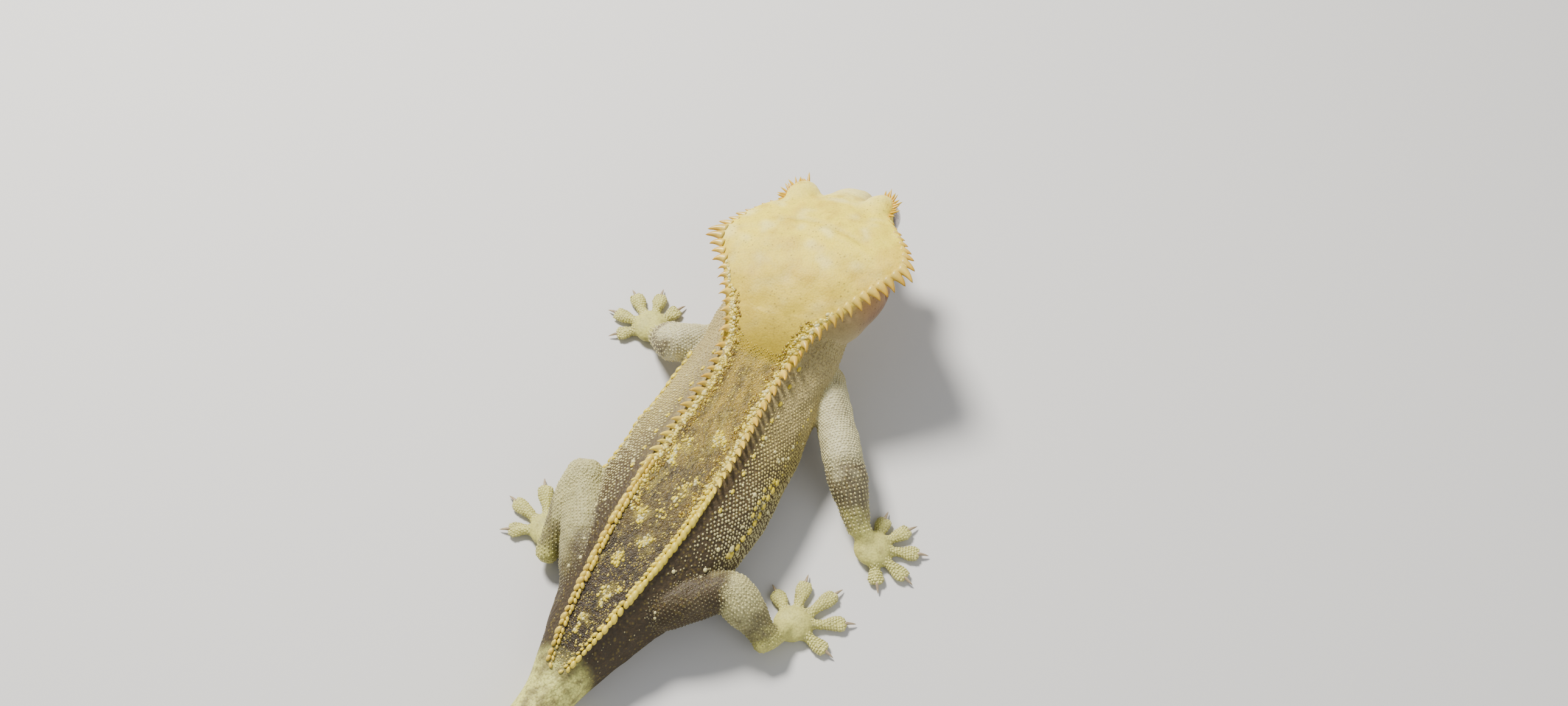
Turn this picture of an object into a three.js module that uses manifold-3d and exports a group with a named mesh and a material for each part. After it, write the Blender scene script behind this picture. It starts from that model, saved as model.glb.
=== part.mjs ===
// A life-size adult crested gecko, still, looking ahead with its right arm swept back.
// Millimetres, +Z up. Every shape is worked out with +X to the animal's right and +Y towards its head.
// The finished group is then turned so that the animal faces -Y, over its own centre, on the floor at z = 0.
import * as THREE from "three";
import { mergeVertices } from "three/addons/utils/BufferGeometryUtils.js";
import Module from "manifold-3d";

const wasm = await Module();
wasm.setup();

// Driving dimensions
const GAP = 0.3; // left between pieces that touch
const SVL = 115; // snout to vent
const HEAD_LENGTH = 0.32 * SVL;
const CREST_WIDTH = 0.305 * SVL; // across the jowl corners of the crown, without spines
const EYE_RADIUS = 0.032 * SVL;
const UPPER_ARM_RADIUS = 0.031 * SVL;
const FOREARM_RADIUS = 0.028 * SVL;
const THIGH_RADIUS = 0.0365 * SVL;
const SHIN_RADIUS = 0.03 * SVL;
const PALM_RADIUS = 0.028 * SVL;
const TOE_PAD_HALF_WIDTH = 0.0135 * SVL;
const SPINE_LENGTH = 0.024 * SVL; // near the longest, by the jowl corner
const SPINE_STEP = 0.0175 * SVL; // from one spine of the crest to the next
const LASH_LENGTH = 0.015 * SVL;
const SECTION_POWER = 2.25; // how square the body's cross-sections are
const HEAD_POWER = 2.3;
const CROWN_POWER = 1.7;
const ROUND = 2; // the power of a plain ellipse

// The body from inside the head to the tail's tip: centre right, forward, up, half width, rise, drop,
// and how far each crest row stands from the midline.
const BODY = [
  [-1.3, 50, 20.0, 0, 0, 0, 0],
  [-1.1, 47, 19.3, 6.4, 4.2, 5.2, 4.8],
  [0.0, 41, 17.3, 11.6, 5.6, 7.4, 7.6],
  [0.5, 35, 14.4, 12.6, 6.2, 8.4, 6.2],
  [0.6, 28, 11.6, 13.2, 6.6, 10.2, 5.8],
  [0.8, 19, 9.4, 14.2, 7.6, 9.9, 5.9],
  [1.1, 8, 8.3, 15.2, 8.4, 8.9, 6.5],
  [1.2, -4, 7.9, 15.4, 8.6, 8.5, 6.6],
  [1.0, -14, 7.3, 13.7, 8.2, 7.9, 6.1],
  [0.6, -23, 6.7, 11.0, 7.2, 7.2, 5.0],
  [0.2, -31, 5.9, 8.2, 6.1, 6.3, 3.8],
  [-0.1, -38, 5.0, 6.0, 4.9, 5.4, 2.3],
  [-0.3, -45, 4.2, 4.3, 4.1, 4.6, 0.9],
  [-1.0, -54, 4.0, 4.2, 3.9, 4.4, 0.6],
  [-3.6, -68, 3.6, 3.8, 3.5, 4.0, 0.5],
  [-7.2, -83, 3.1, 3.2, 3.0, 3.4, 0.4],
  [-9.6, -98, 2.6, 2.6, 2.4, 2.9, 0.3],
  [-8.6, -112, 2.1, 2.0, 1.9, 2.4, 0.3],
  [-4.2, -124, 1.6, 1.6, 1.4, 1.9, 0.2],
  [0.6, -131, 1.2, 1.9, 1.1, 1.5, 0.2],
  [4.4, -135, 0.9, 1.5, 0.9, 1.2, 0.2],
  [6.6, -137, 0.8, 0, 0, 0, 0],
];
const TAIL_START = -43; // forward, where the tail leaves the vent
const NECK_FRONT = 40.5;
const NECK_BACK = 31;
const TAIL_CUTS = [-76, -108];

// The head, in units of its own: distance behind the snout tip, centre height over the mouth,
// half width, rise, drop.
const HEAD_UNITS = 34; // how long a head these rows are told for
const HEAD = [
  [0, 0.4, 0, 0, 0],
  [0.7, 0.4, 2.3, 1.6, 1.5],
  [3, 0.5, 3.9, 2.9, 2.6],
  [6, 0.6, 5.1, 4.0, 3.4],
  [9, 0.8, 6.4, 5.4, 4.0],
  [12, 1.0, 7.8, 6.7, 4.6],
  [16, 1.1, 9.8, 7.2, 5.3],
  [20, 1.5, 12.2, 6.9, 6.4],
  [24, 1.8, 13.9, 6.4, 7.3],
  [28, 1.6, 14.3, 5.8, 7.7],
  [32, 0.7, 13.0, 5.2, 7.2],
  [36, -0.8, 10.2, 4.0, 5.8],
  [39, -2.4, 0, 0, 0],
];
// The crown, the wide shelf over the cheeks and the nape, in the head's own units: distance behind the
// snout tip, height over the mouth, half width, rise, drop, and how far it bends to the right to meet the back.
const HALF_CREST = (0.5 * CREST_WIDTH * HEAD_UNITS) / HEAD_LENGTH;
const CROWN = [
  [7.5, 4.6, 0, 0, 0, 0],
  [9, 5.4, 0.36 * HALF_CREST, 0.8, 1.6, 0],
  [12, 6.6, 0.52 * HALF_CREST, 1.2, 2.4, 0],
  [16, 7.3, 0.68 * HALF_CREST, 1.4, 2.8, 0],
  [20, 7.4, 0.86 * HALF_CREST, 1.5, 3.2, 0],
  [24, 7.2, 0.98 * HALF_CREST, 1.6, 3.6, 0],
  [26.5, 6.8, HALF_CREST, 1.6, 3.8, 0],
  [29, 5.9, 0.91 * HALF_CREST, 1.6, 3.6, -0.2],
  [32, 4.6, 0.77 * HALF_CREST, 1.6, 3.2, -0.8],
  [35, 2.8, 0.63 * HALF_CREST, 1.6, 2.8, -1.6],
  [38, 0.7, 0.5 * HALF_CREST, 1.4, 2.8, -2.5],
  [41, -1.8, 0.41 * HALF_CREST, 1.2, 2.6, -3.3],
  [43.5, -4.4, 0.36 * HALF_CREST, 0.9, 2.2, -3.9],
  [45.5, -6.6, 0, 0, 0, -4.2],
];
const HEAD_PLACE = { right: -0.7, forward: 49.5, up: 26.0, behindSnout: 25, overMouth: 8.5 };
const HEAD_TURN = { yaw: 9, pitch: -15, roll: -8 }; // to its left, snout down, right side up, in degrees
const EYE = { right: 7.6, behindSnout: 10.2, overMouth: 4.1 };
const BROW = { right: 6.9, behindSnout: 11.6, overMouth: 6.6, along: 4.8, across: 3.2, tall: 2.8 };
const NOSTRIL = { right: 1.9, behindSnout: 1.5, overMouth: 2.0, radius: 0.5 };
const EAR = { right: 14.0, behindSnout: 27.5, overMouth: 1.4, along: 0.8, across: 1.6, tall: 1.5 };
// The mouth line in side view: distance behind the snout tip, height over the mouth.
// Its end runs down behind the jaw.
const MOUTH = [[-3, 0.5], [3, 0.1], [9, 0.2], [15, 0.9], [20, 1.3], [22.5, 0], [24, -4], [25, -10]];

// Limbs: joint centres as right, forward, up
const LEGS = {
  arm_right: {
    joints: [[12.0, 32.6, 9.6], [23.0, 19.2, 9.6], [30.4, 11.6, 3.5]],
    palm: [34.4, 9.8, 1.5],
    toes: { heading: 20, angles: [78, 40, 4, -34, -74], lengths: [7.2, 8.4, 9.0, 8.6, 7.2] },
  },
  arm_left: {
    joints: [[-6.6, 32, 9.4], [-16.0, 24.6, 12.0], [-23.2, 28.4, 3.5]],
    palm: [-26.8, 30.6, 1.5],
    toes: { heading: 148, angles: [-78, -40, -4, 34, 72], lengths: [7.2, 8.4, 9.0, 8.6, 7.2] },
  },
  leg_right: {
    joints: [[5.5, -24.5, 7.4], [18.4, -13.2, 9.8], [27.4, -16.0, 3.6]],
    palm: [29.2, -10.4, 1.5],
    toes: { heading: 62, angles: [82, 42, 6, -30, -72], lengths: [7.6, 9.2, 10.2, 10.0, 8.0] },
  },
  leg_left: {
    joints: [[-5, -25.5, 7.4], [-15.8, -7.4, 11.2], [-16.2, -20.6, 3.6]],
    palm: [-19.4, -16.6, 1.5],
    toes: { heading: 130, angles: [-80, -40, -2, 36, 76], lengths: [7.6, 9.2, 10.0, 9.6, 7.8] },
  },
};
// The lengths of a limb: share of the way to the next joint, radius as a share of the length's own
const UPPER_ARM = {
  radius: UPPER_ARM_RADIUS,
  profile: [
    [-0.14, 0], [-0.08, 0.8], [0.15, 0.95], [0.5, 0.96],
    [0.85, 1.04], [1, 0.98], [1.12, 0.7], [1.17, 0],
  ],
};
const FOREARM = {
  radius: FOREARM_RADIUS,
  profile: [
    [-0.2, 0], [-0.12, 0.8], [0.1, 1.12], [0.35, 1.15],
    [0.65, 0.92], [1, 0.7], [1.12, 0.55], [1.18, 0],
  ],
};
const THIGH = {
  radius: THIGH_RADIUS,
  profile: [
    [-0.14, 0], [-0.08, 0.75], [0.2, 1.02], [0.5, 1.0],
    [0.82, 0.86], [1, 0.8], [1.1, 0.6], [1.14, 0],
  ],
};
const SHIN = {
  radius: SHIN_RADIUS,
  profile: [
    [-0.2, 0], [-0.12, 0.85], [0.12, 1.1], [0.4, 1.06],
    [0.7, 0.82], [1, 0.66], [1.12, 0.5], [1.18, 0],
  ],
};
const WRIST = { radius: 1.9, profile: [[-0.5, 0], [-0.4, 0.7], [0, 1], [0.6, 0.9], [0.9, 0.6], [1, 0]] };
const PALM = { radius: 1.1 * PALM_RADIUS, tall: 1.7, sunk: 0.1 };
const LIMB_AROUND = 10;
const BARE = 0.05; // below this share a profile's end is a point
// A toe: share of its length, half width as a share of the pad's, half height
const TOE_PROFILE = [
  [0, 0, 0], [0.04, 0.6, 0.9], [0.3, 0.62, 0.95], [0.5, 0.58, 0.8], [0.68, 0.86, 0.68],
  [0.84, 1, 0.6], [0.95, 0.72, 0.5], [1, 0, 0],
];
const TOE = { centreHeight: 0.75, drop: 1.6, around: 6, along: 8 };
const CLAW = { radius: 0.36, length: 1.5, sides: 5, beyond: 0.1 };

// Reads a table as a smooth curve through its rows, t from 0 to 1 along them.
function rowAt(table, t) {
  const last = table.length - 1;
  const at = Math.min(Math.max(t, 0), 1) * last;
  const i = Math.min(Math.floor(at), last - 1);
  const f = at - i;
  const [a, b, c, d] = [i - 1, i, i + 1, i + 2].map((k) => table[Math.min(Math.max(k, 0), last)]);
  return b.map((start, k) => {
    const slope = c[k] - a[k];
    const square = 2 * a[k] - 5 * start + 4 * c[k] - d[k];
    const cube = 3 * (start - c[k]) + d[k] - a[k];
    return start + 0.5 * f * (slope + f * (square + f * cube));
  });
}

// A column of a table at one place, by its first column, which grows or falls steadily.
function lookUp(table, key, column) {
  const sign = Math.sign(table.at(-1)[0] - table[0][0]);
  const i = Math.max(1, table.findIndex((row) => sign * (row[0] - key) >= 0));
  const f = (key - table[i - 1][0]) / (table[i][0] - table[i - 1][0]);
  return THREE.MathUtils.lerp(table[i - 1][column], table[i][column], f);
}

// A closed skin drawn over a sphere's own grid: place(t, angle) gives a point, t from pole to pole,
// angle 0 on top and growing to the right.
function skin(place, around, along) {
  const sphere = new THREE.SphereGeometry(1, around, along);
  const { position, uv } = sphere.attributes;
  for (let i = 0; i < position.count; i++) {
    const t = 1 - uv.getY(i);
    const p = place(t, 2 * Math.PI * uv.getX(i));
    position.setXYZ(i, p.x, p.y, p.z);
  }
  return sphere;
}

// A closed three.js geometry as a solid.
function solid(geometry, matrix) {
  const bare = geometry.clone();
  for (const name of ["normal", "uv"]) bare.deleteAttribute(name);
  if (matrix) bare.applyMatrix4(matrix);
  const merged = mergeVertices(bare, 1e-4);
  const corners = [];
  for (let i = 0; i < merged.index.count; i += 3) {
    const [a, b, c] = [0, 1, 2].map((k) => merged.index.getX(i + k));
    if (a !== b && b !== c && a !== c) corners.push(a, b, c);
  }
  const build = () =>
    new wasm.Manifold(
      new wasm.Mesh({
        numProp: 3,
        vertProperties: new Float32Array(merged.attributes.position.array),
        triVerts: new Uint32Array(corners),
      }),
    );
  const made = build();
  if (made.volume() > 0) return made;
  corners.reverse();
  return build();
}

const union = (pieces) => pieces.reduce((whole, piece) => whole.add(piece));
const largest = (made) => made.decompose().sort((a, b) => b.volume() - a.volume())[0];
const vector = ([x, y, z]) => new THREE.Vector3(x, y, z);
const UP = new THREE.Vector3(0, 0, 1);
const CONE_AXIS = new THREE.Vector3(0, 1, 0);

// A superellipse section: how far right and how far up a point at this angle stands.
function onSection(angle, halfWidth, rise, drop, power) {
  const s = Math.sin(angle);
  const c = Math.cos(angle);
  const reach = 2 / power;
  return [
    Math.sign(s) * Math.abs(s) ** reach * halfWidth,
    Math.sign(c) * Math.abs(c) ** reach * (c > 0 ? rise : drop),
  ];
}

// Body
const bodyRow = (t) => rowAt(BODY, t);
const bodyCentre = (t) => vector(bodyRow(t));
function bodyFrame(t) {
  const step = 0.002;
  const back = bodyCentre(Math.min(t + step, 1)).sub(bodyCentre(Math.max(t - step, 0))).normalize();
  const right = back.clone().cross(UP).negate().normalize();
  const up = right.clone().cross(back.clone().negate()).normalize();
  return { back, right, up };
}
const onFloor = (p) => (p.z < 0 ? p.setZ(0) : p);
const BODY_AROUND = 24;
const TOP_STEPS = 3; // quads from the midline to each crest row
const RIDGE = { rise: 0.5, width: 0.6, fullFrom: 8, least: 0.18, most: 0.94 }; // under each crest row
const BODY_OPEN = 0.3; // half width above which a row isn't one of the ends
// Where the crest row stands, as the section's own angle
function ridgeAngle(row) {
  const share = row[3] > 0 ? Math.min(row[6] / row[3], RIDGE.most) : 0.5;
  return Math.asin(Math.max(share, RIDGE.least) ** (SECTION_POWER / 2));
}
function bodyPoint(t, angle, grow = 0) {
  const row = bodyRow(t);
  const { back, right, up } = bodyFrame(t);
  const turn = angle > Math.PI ? angle - 2 * Math.PI : angle;
  const steps = (Math.abs(turn) / (2 * Math.PI)) * BODY_AROUND;
  const half = BODY_AROUND / 2;
  const edge = ridgeAngle(row);
  const beyond = steps - TOP_STEPS;
  const below = (beyond / (half - TOP_STEPS)) * (Math.PI - edge);
  const own = beyond <= 0 ? (steps / TOP_STEPS) * edge : edge + below;
  const open = row[3] > BODY_OPEN ? 1 : 0;
  const fullness = open * Math.min(1, row[3] / RIDGE.fullFrom);
  const lift = fullness * RIDGE.rise * Math.exp(-((beyond / RIDGE.width) ** 2));
  const [x, z] = onSection(
    Math.sign(turn || 1) * own,
    Math.max(row[3], 0) + open * grow,
    Math.max(row[4], 0) + open * grow + lift,
    Math.max(row[5], 0) + open * grow,
    SECTION_POWER,
  );
  const p = vector(row).addScaledVector(right, x).addScaledVector(up, z);
  return p.addScaledVector(back, -grow * Math.cos(Math.PI * t));
}
const bodyAt = (grow) =>
  solid(skin((t, angle) => onFloor(bodyPoint(t, angle, grow)), BODY_AROUND, 2 * (BODY.length - 1)));
// The place along the body whose centre is this far forward
function alongAt(forward) {
  let [low, high] = [0, 1];
  for (let i = 0; i < 40; i++) {
    const middle = (low + high) / 2;
    if (bodyRow(middle)[1] > forward) low = middle;
    else high = middle;
  }
  return low;
}

// Head
const HEAD_SCALE = HEAD_LENGTH / HEAD_UNITS;
const turnOf = (axis, degrees) =>
  new THREE.Matrix4().makeRotationAxis(vector(axis), THREE.MathUtils.degToRad(degrees));
const headMatrix = new THREE.Matrix4()
  .makeTranslation(HEAD_PLACE.right, HEAD_PLACE.forward, HEAD_PLACE.up)
  .multiply(turnOf([0, 0, 1], HEAD_TURN.yaw))
  .multiply(turnOf([1, 0, 0], HEAD_TURN.pitch))
  .multiply(turnOf([0, 1, 0], HEAD_TURN.roll));
const inHead = (right, behindSnout, overMouth) =>
  new THREE.Vector3(right, HEAD_PLACE.behindSnout - behindSnout, overMouth - HEAD_PLACE.overMouth)
    .multiplyScalar(HEAD_SCALE);
// A place on the head, from how far right, behind the snout tip and over the mouth it is
const onHead = (...place) => inHead(...place).applyMatrix4(headMatrix);
function tableOnHead(table, power) {
  return (t, angle) => {
    const [behind, over, halfWidth, rise, drop, bend = 0] = rowAt(table, t);
    const [x, z] = onSection(angle, Math.max(halfWidth, 0), Math.max(rise, 0), Math.max(drop, 0), power);
    return onHead(bend + x, behind, over + z);
  };
}
function ballOnHead({ right, behindSnout, overMouth }, side, along, across, tall, detail = 12) {
  const ball = new THREE.SphereGeometry(1, detail, Math.round(0.7 * detail));
  ball.scale(across, along, tall);
  const at = new THREE.Matrix4().setPosition(inHead(side * right, behindSnout, overMouth));
  return solid(ball, headMatrix.clone().multiply(at));
}

// Spines
// One tapered spine: its root is sunk under the surface, and its tip bends a little towards the lean.
const SPINE = { sunk: 0.9, bend: 0.25, sides: 5 };
function spine(root, direction, length, radius, lean = null, sides = SPINE.sides) {
  const whole = length + SPINE.sunk;
  const cone = new THREE.ConeGeometry(radius, whole, sides, 2);
  cone.translate(0, whole / 2 - SPINE.sunk, 0);
  const turn = new THREE.Quaternion().setFromUnitVectors(CONE_AXIS, direction.clone().normalize());
  cone.applyQuaternion(turn);
  const { position } = cone.attributes;
  for (let i = 0; i < position.count; i++) {
    const p = new THREE.Vector3().fromBufferAttribute(position, i);
    const out = Math.max(0, p.dot(direction) / length);
    if (lean) p.addScaledVector(lean, SPINE.bend * length * out * out);
    p.add(root);
    position.setXYZ(i, p.x, p.y, p.z);
  }
  return solid(cone);
}

// The crest from behind the eye, round the jowl corner and down the back to the tail, one side of it.
const CROWN_EDGE = [15, 17, 19, 21, 23, 24.6, 26, 27.4, 28.8, 31, 33.5, 36, 38.5, 41, 42.5];
const ROW_PLACES = [20, 13, 7, 1, -5, -11, -17, -23, -28, -33, -37, -40.5];
function crestLine(side) {
  const onEdge = CROWN_EDGE.map((behind) => {
    const halfWidth = lookUp(CROWN, behind, 2);
    return onHead(lookUp(CROWN, behind, 5) + side * 0.97 * halfWidth, behind, lookUp(CROWN, behind, 1));
  });
  const onBack = ROW_PLACES.map((forward) => {
    const t = alongAt(forward);
    const turn = TOP_STEPS / BODY_AROUND;
    return bodyPoint(t, 2 * Math.PI * (side > 0 ? turn : 1 - turn));
  });
  return new THREE.CatmullRomCurve3([...onEdge, ...onBack]);
}
// A crest spine by the place it grows from: forward, share of the spine length, radius
const CREST_SIZES = [
  [-42, 0.24, 0.42],
  [-30, 0.3, 0.5],
  [-10, 0.36, 0.58],
  [10, 0.46, 0.6],
  [26, 0.62, 0.6],
  [36, 0.74, 0.62],
  [46, 0.9, 0.62],
  [49, 1.15, 0.6],
  [52, 0.7, 0.5],
  [58, 0.34, 0.42],
  [64, 0.26, 0.4],
];
function crestSpines(side, random) {
  const line = crestLine(side);
  const count = Math.round(line.getLength() / SPINE_STEP);
  const made = [];
  for (let i = 0; i <= count; i++) {
    const u = i / count;
    const root = line.getPointAt(u);
    const along = line.getTangentAt(u);
    const middle = bodyCentre(alongAt(Math.min(root.y, 49)));
    const out = new THREE.Vector3(root.x - middle.x, root.y - middle.y, 0).normalize();
    const onCrown = THREE.MathUtils.smoothstep(root.y, 30, 44);
    const away = new THREE.Vector3(side, 0, 0).lerp(out, 0.5 * onCrown).normalize();
    const direction = away
      .multiplyScalar(0.55 + 0.45 * onCrown)
      .addScaledVector(UP, 0.75 - 0.6 * onCrown)
      .addScaledVector(along, 0.35)
      .normalize();
    const vary = 0.85 + 0.3 * random();
    const length = SPINE_LENGTH * lookUp(CREST_SIZES, root.y, 1) * vary;
    const radius = lookUp(CREST_SIZES, root.y, 2);
    made.push(spine(root.addScaledVector(direction, -GAP), direction, length, radius, along));
  }
  return made;
}
// The lashes over one eye: an arc round the brow, in degrees from straight out, and how far they reach
const LASH = {
  count: 10, from: -78, to: 62, radius: 0.42, sides: 4, root: 0.93, tipAcross: 1.7, tipAlong: 1.5,
};
function lashes(side, random) {
  const made = [];
  for (let i = 0; i < LASH.count; i++) {
    const turn = THREE.MathUtils.degToRad(THREE.MathUtils.lerp(LASH.from, LASH.to, i / (LASH.count - 1)));
    const across = side * Math.cos(turn);
    const behind = Math.sin(turn);
    const root = onHead(
      side * BROW.right + LASH.root * BROW.across * across,
      BROW.behindSnout + LASH.root * BROW.along * behind,
      BROW.overMouth + 0.9,
    );
    const tip = onHead(
      side * BROW.right + LASH.tipAcross * BROW.across * across,
      BROW.behindSnout + LASH.tipAlong * BROW.along * behind,
      BROW.overMouth + 2.2,
    );
    const direction = tip.sub(root).normalize();
    made.push(spine(root, direction, LASH_LENGTH * (0.7 + 0.5 * random()), LASH.radius, null, LASH.sides));
  }
  return made;
}
function seeded(seed) {
  let state = seed;
  return () => {
    state = (state * 1664525 + 1013904223) % 4294967296;
    return state / 4294967296;
  };
}

// A thin flat plate that parts the body across its line at one place
function partAt(forward, size) {
  const t = alongAt(forward);
  const { back, right, up } = bodyFrame(t);
  const basis = new THREE.Matrix4().makeBasis(right, back, up).setPosition(bodyCentre(t));
  return solid(new THREE.BoxGeometry(size, GAP, size), basis);
}
// The sheet that parts the lower jaw from the head
function mouthSheet() {
  const half = GAP / 2;
  const points = MOUTH.map(([behind, over]) => new THREE.Vector2(behind, over));
  const offset = (sign) =>
    points.map((p, i) => {
      const next = points[Math.min(i + 1, points.length - 1)];
      const along = next.clone().sub(points[Math.max(i - 1, 0)]).normalize();
      return new THREE.Vector2(p.x - sign * half * along.y, p.y + sign * half * along.x);
    });
  const outline = new THREE.Shape([...offset(1), ...offset(-1).reverse()]);
  const WIDE = 40;
  const sheet = new THREE.ExtrudeGeometry(outline, { depth: WIDE, bevelEnabled: false });
  sheet.translate(0, 0, -WIDE / 2);
  const { position } = sheet.attributes;
  for (let i = 0; i < position.count; i++) {
    const p = onHead(position.getZ(i), position.getX(i), position.getY(i));
    position.setXYZ(i, p.x, p.y, p.z);
  }
  return solid(sheet);
}

const random = seeded(7);
const bodySolid = bodyAt(0);
const HEAD_GRID = [20, 20];
const CROWN_GRID = [16, 22];
const headSolid = solid(skin(tableOnHead(HEAD, HEAD_POWER), ...HEAD_GRID));
const crownSolid = solid(skin(tableOnHead(CROWN, CROWN_POWER), ...CROWN_GRID));
const brows = [-1, 1].map((side) => ballOnHead(BROW, side, BROW.along, BROW.across, BROW.tall));
const spines = [-1, 1].flatMap((side) => [...crestSpines(side, random), ...lashes(side, random)]);
let whole = union([bodySolid, headSolid, crownSolid, ...brows, ...spines]);
for (const side of [-1, 1]) {
  const socket = EYE_RADIUS + GAP;
  whole = whole.subtract(ballOnHead(EYE, side, socket, socket, socket, 16));
  whole = whole.subtract(ballOnHead(NOSTRIL, side, NOSTRIL.radius, NOSTRIL.radius, NOSTRIL.radius, 8));
  whole = whole.subtract(ballOnHead(EAR, side, EAR.along, EAR.across, EAR.tall, 8));
}
const CUTS = [
  [NECK_FRONT, 44],
  [NECK_BACK, 60],
  [TAIL_START, 30],
  ...TAIL_CUTS.map((forward) => [forward, 16]),
];
for (const [forward, size] of CUTS) whole = whole.subtract(partAt(forward, size));
const lengths = ["head", "neck", "torso", "tail_base", "tail_middle", "tail_tip"];
const parted = whole
  .decompose()
  .sort((a, b) => b.volume() - a.volume())
  .slice(0, lengths.length)
  .sort((a, b) => b.boundingBox().max[1] - a.boundingBox().max[1]);
const solids = new Map(lengths.map((name, i) => [name, parted[i]]));
const [skull, jaw] = solids
  .get("head")
  .subtract(mouthSheet())
  .decompose()
  .sort((a, b) => b.volume() - a.volume());
solids.set("head", skull);
solids.set("lower_jaw", jaw);

// Eyes
for (const [name, side] of [["eye_left", -1], ["eye_right", 1]]) {
  solids.set(name, ballOnHead(EYE, side, EYE_RADIUS, EYE_RADIUS, EYE_RADIUS, 16));
}

// Limbs
// A round length from one joint to the next, its radius by a profile of shares
function limbSkin(from, to, bendTowards, { profile, radius }, grow) {
  const axis = to.clone().sub(from);
  const forward = axis.clone().normalize();
  const side = forward.clone().cross(bendTowards).normalize();
  const over = side.clone().cross(forward);
  const place = (t, angle) => {
    const [share, size] = rowAt(profile, t);
    const open = size > BARE ? 1 : 0;
    const r = Math.max(size, 0) * radius + open * grow;
    return onFloor(
      from
        .clone()
        .addScaledVector(axis, share)
        .addScaledVector(forward, -grow * Math.cos(Math.PI * t))
        .addScaledVector(side, r * Math.sin(angle))
        .addScaledVector(over, r * Math.cos(angle)),
    );
  };
  return solid(skin(place, LIMB_AROUND, 2 * (profile.length - 1)));
}
// A flat toe with its broad pad, from the palm outwards
function toe(palm, degrees, length) {
  const turn = THREE.MathUtils.degToRad(degrees);
  const out = new THREE.Vector3(Math.cos(turn), Math.sin(turn), 0);
  const side = new THREE.Vector3(-out.y, out.x, 0);
  const place = (t, angle) => {
    const [share, wide, tall] = rowAt(TOE_PROFILE, t);
    const rise = Math.max(tall, 0);
    const [x, z] = onSection(angle, Math.max(wide, 0) * TOE_PAD_HALF_WIDTH, rise, TOE.drop * rise, ROUND);
    const p = new THREE.Vector3(palm.x, palm.y, TOE.centreHeight);
    return onFloor(p.addScaledVector(out, share * length).addScaledVector(side, x).addScaledVector(UP, z));
  };
  const claw = new THREE.ConeGeometry(CLAW.radius, CLAW.length, CLAW.sides);
  claw.applyQuaternion(new THREE.Quaternion().setFromUnitVectors(CONE_AXIS, out));
  const at = new THREE.Vector3(palm.x, palm.y, TOE.centreHeight).addScaledVector(out, length + CLAW.beyond);
  return [solid(skin(place, TOE.around, TOE.along)), solid(claw, new THREE.Matrix4().setPosition(at))];
}
const ROLES = {
  arm: { parts: ["upper_arm", "forearm", "hand"], shapes: [UPPER_ARM, FOREARM] },
  leg: { parts: ["thigh", "shin", "foot"], shapes: [THIGH, SHIN] },
};
const grownBody = bodyAt(GAP);
for (const [name, { joints, palm, toes }] of Object.entries(LEGS)) {
  const [kind, sideName] = name.split("_");
  const { parts, shapes } = ROLES[kind];
  const [root, middle, end] = joints.map(vector);
  const fold = end.clone().sub(middle);
  const reach = middle.clone().sub(root);
  const centre = vector(palm);
  const flatPalm = new THREE.SphereGeometry(1, 12, 8);
  flatPalm.scale(PALM.radius, PALM.radius, PALM.tall);
  flatPalm.translate(centre.x, centre.y, centre.z - PALM.sunk);
  const { position } = flatPalm.attributes;
  for (let i = 0; i < position.count; i++) position.setZ(i, Math.max(position.getZ(i), 0));
  const wrist = (grow) => limbSkin(end, centre, UP, WRIST, grow);
  const upper = (grow) => limbSkin(root, middle, fold.clone().negate(), shapes[0], grow);
  const lower = (grow) => limbSkin(middle, end, reach.clone().negate(), shapes[1], grow);
  const paw = union([
    solid(flatPalm),
    wrist(0),
    ...toes.angles.flatMap((angle, i) => toe(centre, toes.heading + angle, toes.lengths[i])),
  ]);
  const label = (part) => part + "_" + sideName;
  solids.set(label(parts[0]), largest(upper(0).subtract(grownBody)));
  solids.set(label(parts[1]), largest(lower(0).subtract(upper(GAP)).subtract(grownBody)));
  solids.set(label(parts[2]), largest(paw.subtract(lower(GAP)).subtract(upper(GAP)).subtract(grownBody)));
}

// Finishes
const SKIN = { color: 0x9a8563, roughness: 0.75 };
const FINISHES = {
  head: { color: 0xe4cf8f, roughness: 0.7 },
  neck: { color: 0xb89b5e, roughness: 0.75 },
  lower_jaw: { color: 0xcdb59a, roughness: 0.7 },
  hand: { color: 0xd9d2a0, roughness: 0.7 },
  foot: { color: 0xcfc48f, roughness: 0.7 },
  upper_arm: { color: 0xc3bda2, roughness: 0.75 },
  eye: { color: 0x8d8078, roughness: 0.15 },
};
const animal = new THREE.Group();
for (const [name, made] of solids) {
  const { vertProperties, triVerts, numProp } = made.getMesh();
  const points = new Float32Array((vertProperties.length / numProp) * 3);
  for (let i = 0; i < points.length / 3; i++) {
    points.set(vertProperties.subarray(i * numProp, i * numProp + 3), 3 * i);
  }
  const geometry = new THREE.BufferGeometry();
  geometry.setAttribute("position", new THREE.BufferAttribute(points, 3));
  geometry.setIndex(new THREE.BufferAttribute(triVerts, 1));
  const key = Object.keys(FINISHES).find((k) => name.startsWith(k));
  const finish = new THREE.MeshStandardMaterial({ metalness: 0, ...(FINISHES[key] ?? SKIN) });
  const mesh = new THREE.Mesh(geometry, finish);
  mesh.name = name;
  animal.add(mesh);
}

// The animal is turned to face -Y and set over its own centre.
const turned = new THREE.Group();
animal.rotation.z = Math.PI;
turned.add(animal);
const box = new THREE.Box3().setFromObject(turned, true);
const centre = box.getCenter(new THREE.Vector3());
turned.position.set(-centre.x, -centre.y, -box.min.z);

export default turned;
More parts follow.
